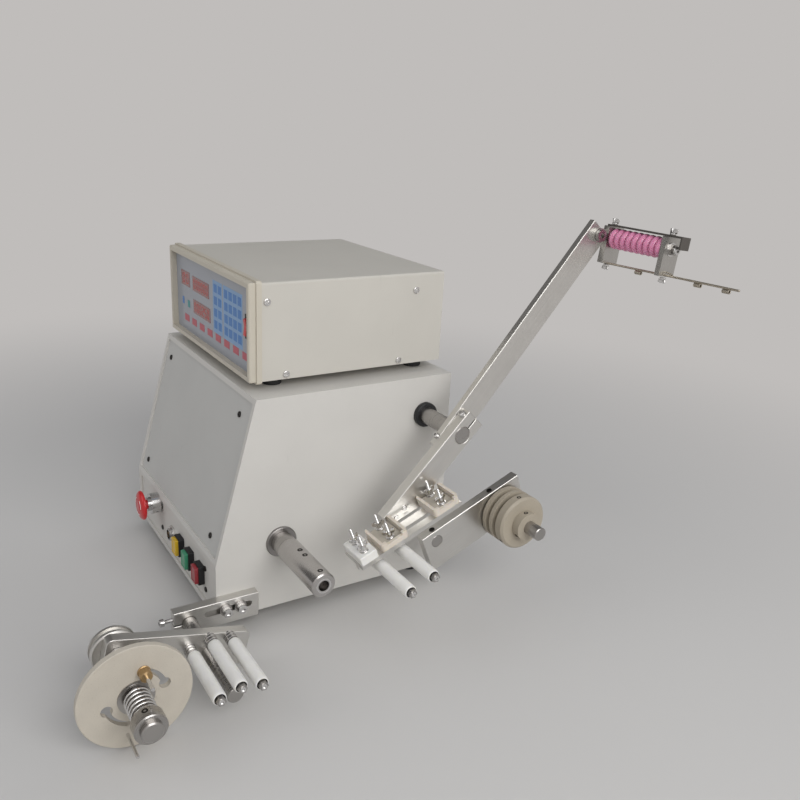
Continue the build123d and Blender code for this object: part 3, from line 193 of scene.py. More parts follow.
def metal(name, colour, rough, size, lean=0.0, contrast=0.1, depth=0.02):
    """Bare metal with its machining marks; size is the grain of the marks."""
    bare = Finish(name, Metallic=1.0)
    marks, broad = bare.grain(size, 4, lean), bare.grain(25, 3)
    dull, bright = (tone(*(min(255, c * k) for c in colour)) for k in (1 - contrast, 1 + contrast))
    shade = bare.between(0.75 * marks + 0.25 * broad, dull, bright)
    return bare.done(Base_Color=shade, Roughness=(rough - 0.09) + 0.16 * marks + 0.06 * broad,
                     Normal=bare.relief(marks, depth, 0.5))


def moulded(name, colour, gloss, texture=0.5, depth=0.03, **fixed):
    """Moulded plastic with a faint tone change and a fine skin."""
    cast = Finish(name, **fixed)
    broad, skin = cast.grain(18), cast.grain(texture, 2)
    deep, pale = (tone(*(min(255, c * k) for c in colour)) for k in (0.93, 1.03))
    return cast.done(Base_Color=cast.between(0.7 * broad + 0.3 * skin, deep, pale),
                     Roughness=gloss + 0.1 * broad + 0.06 * skin,
                     Normal=cast.relief(skin, depth, 0.4))


def phenolic(name, colour, centre):
    """Beige resin-paper laminate, turned on a lathe about an axis along X."""
    board = Finish(name)
    fleck, cloud = board.grain((0.5, 1.4, 0.9), 4), board.grain(16, 4)
    ring = board.radius(tuple(c / 1000 for c in centre))
    turned_marks = (ring * 5.0).maths("SINE", ring * 5.0 + 2.0 * cloud)
    deep, pale = tone(*(c * 0.9 for c in colour)), tone(*(c * 1.04 for c in colour))
    body = board.between(0.55 * cloud + 0.35 * fleck + 0.05 * turned_marks + 0.05, deep, pale)
    specks = board.between(board.grain(1.1, 2).over(0.7) * 0.35, body, tone(140, 122, 96))
    return board.done(Base_Color=specks, Roughness=0.42 + 0.12 * fleck,
                      Normal=board.relief(0.6 * turned_marks + 0.4 * fleck, 0.02, 0.5))


def glazed(name, colour):
    """Glazed ceramic with a slight drift of its tint."""
    glaze = Finish(name, Coat_Weight=0.35, Coat_Roughness=0.12, Subsurface_Weight=0.2,
                   Subsurface_Radius=(0.004, 0.002, 0.002))
    drift, fine = glaze.grain(7), glaze.grain(0.6, 2)
    deep, pale = tone(*(c * 0.9 for c in colour)), tone(*(min(255, c * 1.06) for c in colour))
    return glaze.done(Base_Color=glaze.between(0.8 * drift + 0.2 * fine, deep, pale),
                      Roughness=0.2 + 0.1 * drift, Normal=glaze.relief(fine, 0.02, 0.2))


def felted(name):
    """Dense wool felt."""
    felt = Finish(name, Sheen_Weight=0.4, Sheen_Roughness=0.5)
    fibre, tuft = felt.grain((1.4, 0.25, 0.25), 5), felt.grain(0.5, 4)
    shade = felt.between(0.5 * fibre + 0.5 * tuft, tone(166, 158, 144), tone(200, 192, 178))
    return felt.done(Base_Color=shade, Roughness=0.85 + 0.1 * fibre,
                     Normal=felt.relief(0.5 * fibre + 0.5 * tuft, 0.3, 0.8))


reel_axis, pulley_axis = middle("spring_collar"), middle("grooved_pulley")
ALUMINIUM = (214, 212, 208)
finishes = {
    "housing_paint": painted("housing_paint", (212, 209, 203)),
    "panel_paint": painted("panel_paint", (198, 197, 193), 0.8),
    "controller_paint": painted("controller_paint", (204, 200, 191), 0.7),
    "rubber": moulded("rubber", (34, 34, 34), 0.7, 0.4, 0.05),
    "black_plastic": moulded("black_plastic", (30, 30, 32), 0.38),
    "steel": metal("turned_steel", (172, 169, 166), 0.27, (1.1, 60, 60), 0, 0.06),
    "bright_steel": metal("bright_steel", (216, 215, 214), 0.17, (0.9, 20, 20), 0, 0.05, 0.01),
    "aluminium": metal("milled_aluminium", ALUMINIUM, 0.36, (30, 0.3, 0.3)),
    "ceramic": glazed("glazed_ceramic", (222, 140, 176)),
    "bakelite": phenolic("resin_board", (200, 192, 178), reel_axis),
    "white_plastic": moulded("white_nylon", (238, 236, 231), 0.3, Subsurface_Weight=0.15,
                             Subsurface_Radius=(0.003, 0.003, 0.002)),
    "cream_plastic": moulded("cream_plastic", (222, 212, 198), 0.34, Subsurface_Weight=0.2,
                             Subsurface_Radius=(0.003, 0.002, 0.001)),
    "felt": felted("wool_felt"),
    "membrane": moulded("membrane", (158, 162, 170), 0.32, 0.3, 0.01, Coat_Weight=0.3),
    "red_plastic": moulded("red_plastic", (206, 34, 38), 0.22, Coat_Weight=0.3),
    "green_plastic": moulded("green_plastic", (66, 148, 112), 0.24, Coat_Weight=0.3),
    "yellow_plastic": moulded("yellow_plastic", (222, 182, 44), 0.24, Coat_Weight=0.3),
}


def brushed(name, lean):
    """Aluminium bar stock brushed along its length, which leans about X."""
    return metal(name, ALUMINIUM, 0.33, (0.25, 55, 0.25), lean, 0.09)


own_finish = {
    "upper_arm": brushed("arm_aluminium", ARM_LEAN),
    "lower_bar": brushed("bar_aluminium", BAR_LEAN),
    "guide_plate": brushed("head_aluminium", HEAD_LEAN),
    "pulley_plate": brushed("plate_aluminium", PLATE_LEAN),
    "tension_bar": brushed("tension_aluminium", TENSION_LEAN),
    "slotted_block": brushed("block_aluminium", 0.0),
    "unit_blocks": metal("unit_steel", (190, 188, 184), 0.3, (0.2, 0.2, 30), UNIT_LEAN),
    "unit_top_plate": metal("spring_steel", (120, 116, 112), 0.34, (30, 0.3, 0.3)),
    "grooved_pulley": phenolic("pulley_board", (176, 166, 149), pulley_axis),
    "spindle_sleeve": metal("sleeve_steel", (188, 185, 183), 0.2, (1.3, 60, 60), 0, 0.05),
    "spindle_bearings": metal("ring_steel", (150, 147, 145), 0.3, (0.3, 60, 60), 0, 0.08),
    "controller_bezel": painted("bezel_paint", (202, 195, 180), 0.7),
    "wire_rail": metal("rail_wire", (186, 178, 164), 0.34, (3, 0.3, 0.3), 0, 0.05),
}
for subpart in frame["record"]["subparts"]:
    node = subpart["node"]
    finish = own_finish.get(node, finishes[subpart["material_slot"]])
    for holder in frame["nodes"][node].material_slots:
        holder.material = finish

brass = metal("brass", (182, 154, 114), 0.34, (0.3, 20, 20))
dark_steel = metal("black_steel", (62, 60, 58), 0.42, (0.4, 0.4, 0.4))
key_blue = moulded("blue_key", (74, 128, 192), 0.34, 0.3, 0.01)
key_field = moulded("key_field", (134, 168, 206), 0.34, 0.3, 0.01)
key_red = moulded("red_key", (190, 92, 104), 0.34, 0.3, 0.01)
window_red = moulded("display_window", (124, 32, 36), 0.14, 0.3, 0.005, Coat_Weight=0.6)
digit_red = moulded("display_digit", (206, 70, 62), 0.3, 0.3, 0.005)
key_green = moulded("green_key", (70, 150, 150), 0.34, 0.3, 0.01)
dark_red = moulded("dark_red_cap", (158, 50, 58), 0.26, Coat_Weight=0.3)


# ---------------------------------------------------------------- shaping
def at(spot, out=Z, turn=0.0):
    """Place in metres whose own z points out of a spot given in millimetres."""
    aim = Vector(out).to_track_quat("Z", "Y").to_matrix().to_4x4()
    mm = Matrix.Scale(0.001, 4)
    return mm @ Matrix.Translation(Vector(spot)) @ aim @ Matrix.Rotation(turn, 4, "Z")


class Shape:
    """A mesh under way: each method adds one closed form at a place."""

    def __init__(self):
        self.mesh = bmesh.new()

    def take(self, form, place):
        """Settle a closed form in millimetres at its place."""
        bmesh.ops.remove_doubles(form, verts=form.verts, dist=0.0005)
        bmesh.ops.recalc_face_normals(form, faces=form.faces)
        bmesh.ops.transform(form, matrix=place, verts=form.verts)
        scrap = bpy.data.meshes.new("scrap")
        form.to_mesh(scrap)
        form.free()
        self.mesh.from_mesh(scrap)
        bpy.data.meshes.remove(scrap)

    def turned(self, profile, place, steps=32, closed=False, shape_up=None):
        """A profile of (radius, height) spun round the place's z axis."""
        form = bmesh.new()
        spots = [form.verts.new((r, 0, h)) for r, h in profile]
        pairs = list(zip(spots, spots[1:])) + ([(spots[-1], spots[0])] if closed else [])
        edges = [form.edges.new(pair) for pair in pairs]
        bmesh.ops.spin(form, geom=spots + edges, cent=(0, 0, 0), axis=(0, 0, 1),
                       angle=math.tau, steps=steps, use_merge=True)
        if shape_up:
            for vert in form.verts:
                shape_up(vert)
        self.take(form, place)

    def block(self, size, place, round_over=0.4, segments=2):
        """A block on the place's floor, its edges rounded."""
        form = bmesh.new()
        bmesh.ops.create_cube(form, size=1)
        bmesh.ops.scale(form, vec=size, verts=form.verts)
        bmesh.ops.translate(form, vec=(0, 0, size[2] / 2), verts=form.verts)
        bmesh.ops.bevel(form, geom=form.edges, offset=round_over, offset_type="OFFSET",
                        affect="EDGES", segments=segments, profile=0.5, material=-1)
        self.take(form, place)

    def prism(self, radius, length, place, sides=6, round_over=0.3):
        """A prism of many sides on the place's floor."""
        form = bmesh.new()
        bmesh.ops.create_cone(form, cap_ends=True, segments=sides, radius1=radius,
                              radius2=radius, depth=length)
        bmesh.ops.translate(form, vec=(0, 0, length / 2), verts=form.verts)
        bmesh.ops.bevel(form, geom=form.edges, offset=round_over, offset_type="OFFSET",
                        affect="EDGES", segments=2, profile=0.5, material=-1)
        self.take(form, place)

    def wire(self, spots, radius, sides=10):
        """Round wire bent through spots in millimetres."""
        form = bmesh.new()
        spots = [Vector(s) for s in spots]
        ring = bmesh.ops.create_circle(form, cap_ends=True, segments=sides, radius=radius)["verts"]
        heading = (spots[1] - spots[0]).normalized()
        aim = heading.to_track_quat("Z", "Y")
        bmesh.ops.transform(form, matrix=Matrix.Translation(spots[0]) @ aim.to_matrix().to_4x4(),
                            verts=ring)
        face = form.faces[:][0]
        for k in range(1, len(spots)):
            ahead = spots[min(k + 1, len(spots) - 1)] - spots[k - 1]
            ahead.normalize()
            grown = bmesh.ops.extrude_face_region(form, geom=[face])["geom"]
            face = [g for g in grown if isinstance(g, bmesh.types.BMFace)][0]
            verts = [g for g in grown if isinstance(g, bmesh.types.BMVert)]
            bmesh.ops.translate(form, vec=spots[k] - spots[k - 1], verts=verts)
            turn = heading.rotation_difference(ahead).to_matrix()
            bmesh.ops.rotate(form, cent=spots[k], matrix=turn, verts=verts)
            heading = ahead
        self.take(form, Matrix.Scale(0.001, 4))

    def socket_head(self, place, radius, height, depth=None, kind="hex"):
        """A screw's head with a hexagon, cross or slot sunk in its top."""
        bite = radius * (0.52 if kind == "hex" else 0.62)
        floor = height - (depth or height * 0.55)
        rim = min(0.35 * height, 0.28 * radius)

        def sink(vert):
            flat = math.hypot(vert.co.x, vert.co.y)
            if abs(flat - bite) > 1e-4:
                return
            swing = math.atan2(vert.co.y, vert.co.x)
            if kind == "hex":
                share = math.cos(math.pi / 6) / math.cos(swing % (math.pi / 3) - math.pi / 6)
            elif kind == "cross":
                share = 1.0 if abs(math.sin(2 * swing)) < 0.45 else 0.36
            else:
                share = 1.4 if abs(math.sin(swing)) < 0.25 else 0.2
            vert.co.x *= share
            vert.co.y *= share

        profile = ((0, floor), (bite, floor), (bite, height), (radius - rim, height),
                   (radius - rim * 0.3, height - rim * 0.3), (radius, height - rim),
                   (radius, 0), (0, 0))
        self.turned(profile, place, 36, shape_up=sink)

    def threaded(self, place, radius, length, pitch=0.7):
        """A threaded rod with a pointed end."""
        turns = int((length - radius * 0.4) / pitch)
        profile = [(0, 0)]
        for turn in range(turns):
            profile += [(radius * 0.86, turn * pitch), (radius, (turn + 0.5) * pitch)]
        profile += [(radius * 0.86, turns * pitch), (radius * 0.6, length), (0, length)]
        self.turned(profile, place, 14)

    def knurled_nut(self, place, radius, height, bore, teeth=24):
        """A round nut with a serrated rim."""
        def serrate(vert):
            flat = math.hypot(vert.co.x, vert.co.y)
            if flat > radius * 0.97:
                swing = math.atan2(vert.co.y, vert.co.x)
                share = 1 - 0.07 * (0.5 + 0.5 * math.cos(teeth * swing))
                vert.co.x *= share
                vert.co.y *= share

        profile = ((bore, 0), (radius - 0.5, 0), (radius, 0.5), (radius, height - 0.5),
                   (radius - 0.5, height), (bore, height))
        self.turned(profile, place, teeth * 2, True, serrate)

    def ear(self, place, across, half, tall, thick):
        """A rounded wing standing at a place, its flat side along a direction."""
        form = bmesh.new()
        bmesh.ops.create_cone(form, cap_ends=True, segments=20, radius1=half, radius2=half,
                              depth=thick)
        bmesh.ops.scale(form, vec=(1, tall / (2 * half), 1), verts=form.verts)
        bmesh.ops.bevel(form, geom=form.edges, offset=0.3, offset_type="OFFSET",
                        affect="EDGES", segments=2, profile=0.5, material=-1)
        bmesh.ops.translate(form, vec=(0, tall / 2 - 0.6, 0), verts=form.verts)
        up = place.to_3x3().col[2].normalized()
        flat = (across - across.dot(up) * up).normalized()
        turn = Matrix((flat, up, flat.cross(up))).transposed().to_4x4()
        spot = Matrix.Translation(place.translation)
        self.take(form, spot @ Matrix.Scale(0.001, 4) @ turn)

    def piece(self, name, body, slot, finish=None, nodes=(), crease=32):
        """Make the finished piece and let it ride on its body."""
        for edge in self.mesh.edges:
            sharp = len(edge.link_faces) != 2 or edge.calc_face_angle() > math.radians(crease)
            edge.smooth = not sharp
        for face in self.mesh.faces:
            face.smooth = True
        made = bpy.data.meshes.new(name)
        self.mesh.to_mesh(made)
        self.mesh.free()
        made.materials.append(finish or finishes[slot])
        thing = bpy.data.objects.new(name, made)
        bpy.context.scene.collection.objects.link(thing)
        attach(thing, body)
        if nodes:
            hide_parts(*nodes)
        return thing


def lean(angle):
    """Directions along and up a part that leans about X."""
    return (Vector((0, math.cos(angle), math.sin(angle))),
            Vector((0, -math.sin(angle), math.cos(angle))))


# ---------------------------------------------------------------- guide head
along_head, up_head = lean(HEAD_LEAN)
# corner of the guide plate's upper face, at its low end and housing side
HEAD_CORNER = Vector((low("wire_guards").x, -33.4, 113.6))


def on_head(s, across, height=0.0):
    """A spot on the guide plate: s along it, across from its back edge."""
    return HEAD_CORNER + s * along_head + across * X + height * up_head


BLOCK_TOP, PAD_TOP = 10.0, 4.0
GUARD_AT, GUARD_W, HEAD_W = (28.0, 98.0), 34.0, 38.5
BLOCK_STUD_S, BLOCK_STUDS, GUARD_STUDS = 11.5, (11.0, 30.0), (5.0, 27.0)
STUD_R, STUD_L, NUT_BORE = 1.8, 20, 1.9
studs = [(BLOCK_STUD_S, across, BLOCK_TOP) for across in BLOCK_STUDS]
studs += [(s + GUARD_W / 2, across, PAD_TOP) for s in GUARD_AT for across in GUARD_STUDS]
threads, nuts = Shape(), Shape()
for s, across, height in studs:
    threads.threaded(at(on_head(s, across, height), up_head), STUD_R, STUD_L)
    nuts.turned(((NUT_BORE, 0), (4.9, 0), (4.9, 0.7), (NUT_BORE, 0.7)),
                at(on_head(s, across, height), up_head), 24, True)
    nuts.prism(3.9, 2.4, at(on_head(s, across, height + 0.8), up_head, s))
    nuts.turned(((NUT_BORE, 0), (3.4, 0), (3.4, 1.2), (2.6, 4.6), (NUT_BORE, 4.6)),
                at(on_head(s, across, height + 3.3), up_head), 24, True)
    swing = 0.5 + 1.7 * s + across
    for side in (-1, 1):
        wing = math.cos(swing) * side * along_head + math.sin(swing) * side * X
        ear = on_head(s, across, height + 4.4) + 2.7 * wing
        nuts.ear(at(ear, up_head + 0.55 * wing), wing, 3.0, 7.2, 1.1)
threads.piece("thumb_screw_studs", "guide_head", "bright_steel")
nuts.piece("thumb_screw_nuts", "guide_head", "bright_steel", nodes=["thumb_screws"])

PAD_SIZE = Vector((GUARD_W - 8.0, HEAD_W - 4.3, PAD_TOP - 0.3))
for number, s in enumerate(GUARD_AT, start=1):
    form = bmesh.new()
    bmesh.ops.create_cube(form, size=1)
    bmesh.ops.scale(form, vec=PAD_SIZE, verts=form.verts)
    bmesh.ops.subdivide_edges(form, edges=form.edges, cuts=11, use_grid_fill=True)
    for vert in form.verts:
        share = [2 * vert.co[k] / PAD_SIZE[k] for k in range(3)]
        drawn = 1 - 0.03 * (1 - share[0] ** 2) - 0.02 * (1 - share[1] ** 2)
        fall = 0.5 * (share[0] ** 6 + share[1] ** 6) + 0.1 * noise.noise(vert.co * 0.35 + s * X)
        vert.co.x *= drawn
        vert.co.y *= drawn
        if vert.co.z > 0:
            vert.co.z -= fall * share[2]
    for _ in range(2):
        bmesh.ops.smooth_vert(form, verts=form.verts, factor=0.3, use_axis_x=True,
                              use_axis_y=True, use_axis_z=True)
    pad = Shape()
    where = on_head(s + GUARD_W / 2, (HEAD_W - 3.8) / 2, PAD_TOP / 2)
    turn = Matrix((along_head, -X, up_head)).transposed().to_4x4()
    pad.take(form, Matrix.Scale(0.001, 4) @ Matrix.Translation(where) @ turn)
    felt = pad.piece(f"felt_pad_{number}", "guide_head", "felt",
                     nodes=["felt_pads"] if number == 1 else (), crease=60)

# ---------------------------------------------------------------- wire rollers
rollers = ("guide_roller_1", "guide_roller_2", "tension_roller_1", "tension_roller_2",
           "tension_roller_3")
TUBE_BORE, TUBE_EDGE, PIN_PROUD = 3.1, 5.2, 4.0
tips = {"guide_head": Shape(), "tension_arm": Shape()}
washers = {"guide_head": Shape(), "tension_arm": Shape()}
for roller in rollers:
    start, end, mid = low(roller), high(roller), middle(roller)
    length, r = end.x - start.x, (end.z - start.z) / 2
    tube = Shape()
    tube.turned(((TUBE_BORE, 0.6), (TUBE_EDGE, 0), (r - 1.2, 0), (r - 0.5, 0.4),
                 (r - 0.1, 1.4), (r, 4), (r, length - 4), (r - 0.1, length - 1.4),
                 (r - 0.5, length - 0.4), (r - 1.2, length), (TUBE_EDGE, length),
                 (TUBE_BORE, length - 0.6)),
                at((start.x, mid.y, mid.z), X), 48, True)
    tube.piece(f"{roller}_tube", body_of[roller], "white_plastic", nodes=[roller])
    carrier = "guide_head" if roller.startswith("guide") else "tension_arm"
    tips[carrier].socket_head(at((end.x + PIN_PROUD, mid.y, mid.z), X), 3.0, 1.6)
    washers[carrier].turned(((TUBE_BORE, 0), (5.6, 0), (5.6, 0.25), (TUBE_BORE, 0.25)),
                            at((end.x + 0.03, mid.y, mid.z), X), 28, True)
    for back in (3.6, 8.2, 12.4):
        tips[carrier].turned(((5.9, -1.4), (6.3, -0.9), (6.3, 0.9), (5.9, 1.4)),
                             at((start.x - back, mid.y, mid.z), X), 28, True)
for carrier in tips:
    tips[carrier].piece(f"{carrier}_pin_screws", carrier, "bright_steel")
    washers[carrier].piece(f"{carrier}_washers", carrier, "steel", dark_steel)

# ---------------------------------------------------------------- ceramic guide unit
along_unit, up_unit = lean(UNIT_LEAN)
stack, axle = middle("ceramic_discs"), middle("ceramic_axle")
first, count = low("ceramic_discs").x, 9
disc_t, disc_r = (high("ceramic_discs").x - first) / count, 12.0
DISC_BORE, DISC_HUB, RIM_ROUND = 4.1, 6.6, 4.2
discs = Shape()
for number in range(count):
    beads = [(DISC_BORE, 0.1), (DISC_HUB, 0.15)]
    for step in range(13):
        swing = math.pi * step / 12
        beads.append((disc_r - RIM_ROUND + RIM_ROUND * math.sin(swing),
                      disc_t / 2 - 4.15 * math.copysign(abs(math.cos(swing)) ** 1.25,
                                                        math.cos(swing))))
    beads += [(DISC_HUB, disc_t - 0.15), (DISC_BORE, disc_t - 0.1)]
    discs.turned(beads, at((first + number * disc_t, stack.y, stack.z), X), 48, True)
discs.piece("ceramic_ring_stack", "discs", "ceramic", nodes=["ceramic_discs"], crease=50)

unit_x, unit_end = low("unit_blocks").x, high("unit_blocks").x
UNIT_PIVOT, BLOCK_S = Vector((0, 298.52, 439.81)), 21.4
BLOCK_HEAD, BLOCK_FOOT, RAIL_FOOT = 14.2, -32.3, 31.0
block_mid = UNIT_PIVOT + BLOCK_S * along_unit
fork = Shape()
for x in (unit_x + 4.2, unit_end - 3.3):
    for foot, out, tall in ((BLOCK_HEAD, up_unit, 7.0), (BLOCK_FOOT, -up_unit, 6.0)):
        spot = block_mid + foot * up_unit + x * X
        fork.threaded(at(spot, out), 2.0, tall * 0.5)
        fork.prism(3.6, 2.2, at(spot, out))
        for side in (-1, 1):
            ear = spot + out * 2.2 + side * 2.2 * X
            fork.block((1.8, 5.2, tall - 2), at(ear, out + side * 0.25 * X), 0.7, 3)
fork.piece("forked_screws", "ceramic_unit", "bright_steel")

lever = Shape()
nut_spot = Vector((unit_end + 5.0, axle.y, axle.z))
lever.socket_head(at(nut_spot + 2 * X, X), 4.6, 2.4)
lever.turned(((4.2, 0), (7.6, 0), (7.6, 0.8), (4.2, 0.8)), at(nut_spot - 5 * X, X), 32, True)
lever.piece("axle_nut_cap", "ceramic_unit", "bright_steel")

RAIL_RISE = math.radians(0.9)
rail_from = block_mid - RAIL_FOOT * up_unit + unit_x * X
rail_out = math.cos(RAIL_RISE) * X + math.sin(RAIL_RISE) * up_unit
catch = Shape()
catch.wire([rail_from + reach * rail_out + rise * up_unit
            for reach, rise in ((88, 1.4), (94, 3.4), (100, 2.6), (103, 1.4))], 0.8)
catch.piece("rail_catch", "ceramic_unit", "steel", own_finish["wire_rail"])
rail = Shape()
RAIL_R, RAIL_L = 1.25, 189
EYELETS, EYELET_DROP = (50.5, 133.5, 169.5), 3.2
EYELET_R, EYELET_L, EYELET_BORE = 2.4, 8.5, 1.3
rail.turned(((0, 0), (1.0, 0), (RAIL_R, 0.3), (RAIL_R, RAIL_L - 0.4), (0.9, RAIL_L),
             (0, RAIL_L)),
            at(rail_from, rail_out), 16)
for reach in EYELETS:
    rail.turned(((EYELET_BORE, 0.3), (1.6, 0), (2.1, 0), (EYELET_R, 0.4),
                 (EYELET_R, EYELET_L - 0.4), (2.1, EYELET_L), (1.6, EYELET_L),
                 (EYELET_BORE, EYELET_L - 0.3)),
                at(rail_from + reach * rail_out - EYELET_DROP * up_unit, rail_out), 24, True)
rail.piece("eyelet_rail", "ceramic_unit", "steel", own_finish["wire_rail"], ["wire_rail"])

# ---------------------------------------------------------------- clamps of the arms
rod = middle("traverse_bush")
along_arm, up_arm = lean(ARM_LEAN)
along_bar, up_bar = lean(BAR_LEAN)
bar_face = high("lower_bar").x
arm_mid_x = middle("upper_arm").x
bar_screws, arm_screws = Shape(), Shape()
bar_mid = Vector((bar_face - 6.8, rod.y, rod.z))
bar_screws.socket_head(at(bar_mid + 18 * along_bar + 14 * up_bar, up_bar), 4.4, 4.4)
PLATE_SCREWS = (-118.0, -104.0)  # along the bar, from the traverse rod
for s in PLATE_SCREWS:
    bar_screws.socket_head(at(Vector((bar_face, rod.y, rod.z)) + s * along_bar, X), 3.2, 1.2)
bar_screws.piece("bar_screws", "guide_head", "bright_steel")
arm_mid = Vector((arm_mid_x, rod.y, rod.z))
arm_screws.socket_head(at(arm_mid - 17 * along_arm + 15 * up_arm, up_arm), 3.6, 4.0)
arm_screws.piece("arm_screws", "arm", "bright_steel")

# ---------------------------------------------------------------- spindle
spindle = middle("spindle_sleeve")
sleeve_r = (high("spindle_sleeve").z - low("spindle_sleeve").z) / 2
grub = Shape()
GRUBS, GRUB_SUNK = (199.6, 211.8, 248.0), 1.2
for x in GRUBS:
    grub.socket_head(at((x, spindle.y, spindle.z + sleeve_r - GRUB_SUNK), Z), 3.0, 1.5, 1.3)
grub.piece("sleeve_grub_screws", "spindle", "steel", dark_steel)
mouth = Shape()
nose_x = high("spindle_sleeve").x
mouth.turned(((6.02, -0.6), (7.4, 0.25), (8.4, 0.25), (8.6, 0), (6.02, -0.9)),
             at((nose_x, spindle.y, spindle.z), X), 48, True)
mouth.piece("nose_lip", "spindle", "bright_steel")

# ---------------------------------------------------------------- pulley
along_plate, up_plate = lean(PLATE_LEAN)
plate_rod = middle("plate_rod")
plate_front = high("pulley_plate").x
plate_screws, cover = Shape(), Shape()
for s in (1.0, 88.0):
    spot = Vector((plate_front - 6, plate_rod.y, plate_rod.z)) + s * along_plate
    plate_screws.socket_head(at(spot + 13.8 * up_plate, up_plate), 3.4, 0.8, 0.7)
plate_screws.piece("plate_screws", "pulley_arm", "steel", dark_steel)
hub_x, HUB_R, RIM_R = high("grooved_pulley").x - 5.5, 17.0, 32.5
for x, r in ((hub_x, HUB_R), (hub_x - 12.0, RIM_R)):
    for swing in (1.72, 3.8):
        out = Vector((0, math.cos(swing), math.sin(swing)))
        spot = Vector((x, pulley_axis.y, pulley_axis.z)) + (r - 0.9) * out
        cover.socket_head(at(spot, out), 2.6, 1.1, 0.9)
cover.piece("hub_screws", "pulley", "steel", dark_steel)

# ---------------------------------------------------------------- tension carrier
carrier_low, carrier_high = low("slotted_block"), high("slotted_block")
clamp = Shape()
clamp_x = (carrier_low.x + carrier_high.x) / 2
CLAMP_Z, SHANK = 36.0, 9.5
clamp.threaded(at((clamp_x, carrier_low.y + 1, CLAMP_Z), -Y), 2.4, SHANK + 1)
clamp.socket_head(at((clamp_x, carrier_low.y - SHANK, CLAMP_Z), -Y), 4.2, 5.0)
clamp.piece("carrier_clamp_screw", "carrier", "bright_steel")
heads = Shape()
CARRIER_SCREWS, SCREW_Z = (-144.0, -127.0), 35.5
for y in CARRIER_SCREWS:
    heads.socket_head(at((carrier_high.x + 8.4, y, SCREW_Z), X), 5.2, 1.0, 0.9)
    heads.knurled_nut(at((carrier_high.x + 1.95, y, SCREW_Z), X), 5.35, 5.6, 5.12, 20)
heads.piece("carrier_screw_rings", "machine", "bright_steel")

# ---------------------------------------------------------------- wire reel
disc_face = high("reel_disc").x
collar_x, COLLAR_R, COLLAR_T = high("spring_collar").x, 15.0, 15.0
stud_swing, STUD_REACH = math.radians(72), 26.0
stud_at = Vector((disc_face, reel_axis.y, reel_axis.z))
stud_at += STUD_REACH * Vector((0, math.cos(stud_swing), math.sin(stud_swing)))
stud, peg = Shape(), Shape()
stud.turned(((0, 0), (6.0, 0), (6.0, 0.8), (5.2, 1.2), (5.2, 3.0), (5.6, 3.4), (5.6, 9.2),
             (5.0, 10), (2.4, 10), (0, 10)), at(stud_at, X), 32)
stud.piece("brass_stud", "reel", "steel", brass)
peg.turned(((0, 0), (1.9, 0), (1.9, 19), (1.2, 20), (0, 20)), at(stud_at + 9.5 * X, X), 20)
low_peg = Vector((disc_face, reel_axis.y - 9.5, reel_axis.z - 37.0))
peg.turned(((0, 0), (1.6, 0), (1.6, 33), (0.9, 34), (0, 34)), at(low_peg, X), 20)
peg.piece("wire_pegs", "reel", "bright_steel")
grips = Shape()
collar_mid = collar_x - 0.62 * COLLAR_T
for swing in (1.75, 3.85, 5.9):
    out = Vector((0, math.cos(swing), math.sin(swing)))
    spot = Vector((collar_mid, reel_axis.y, reel_axis.z)) + (COLLAR_R - 0.9) * out
    grips.socket_head(at(spot, out), 2.9, 1.1, 1.0)
grips.piece("collar_grub_screws", "reel", "steel", dark_steel)

# ---------------------------------------------------------------- front controls
head = middle("estop_head")
face_y = low("estop_head").y
head_r = (high("estop_head").z - low("estop_head").z) / 2
mushroom = Shape()
mushroom.turned(((0, 18), (5.95, 18), (5.95, 7), (head_r - 1.8, 7), (head_r - 0.5, 6.5),
                 (head_r, 5.4), (head_r - 0.3, 3.8), (head_r - 2.4, 1.9), (head_r - 6, 0.6),
                 (head_r - 9, 0.1), (head_r - 9.6, 0.7), (head_r - 10.4, 0.1), (3, 0.0), (0, 0)),
                at((head.x, face_y, head.z), Y), 64)
mushroom.piece("stop_mushroom", "stop_button", "red_plastic", nodes=["estop_head"], crease=40)
arrows = Shape()
for turn in range(3):
    swing = turn * math.tau / 3
    spots = [Vector((head.x + (head_r - 7.5) * math.cos(swing + 0.14 * k), face_y + 0.35,
                     head.z + (head_r - 7.5) * math.sin(swing + 0.14 * k))) for k in range(8)]
    arrows.wire(spots, 0.5, 6)
arrows.piece("twist_marks", "stop_button", "white_plastic")

socket = middle("pedal_socket")
socket_y = low("pedal_socket").y
inside, contacts = Shape(), Shape()
inside.turned(((0, 0), (6.3, 0), (6.3, 1.6), (5.6, 2), (0, 2)),
              at((socket.x, socket_y + 7.9, socket.z), -Y), 32)
for pin in range(4):
    swing = math.tau * (pin + 0.5) / 4
    spot = Vector((socket.x + 3 * math.cos(swing), socket_y + 6.2, socket.z + 3 * math.sin(swing)))
    contacts.turned(((0, 0), (0.75, 0), (0.75, 3), (0.3, 3.6), (0, 3.6)), at(spot, -Y), 14)
inside.piece("socket_insert", "machine", "black_plastic")
contacts.piece("socket_pins", "machine", "steel", brass)
ribs = Shape()
for ring in range(2):
    ribs.turned(((8.02, 0), (8.5, 0.3), (8.5, 0.6), (8.02, 0.9)),
                at((socket.x, socket_y + 0.8 + 1.5 * ring, socket.z), Y), 32, True)
ribs.piece("socket_thread", "machine", "bright_steel")

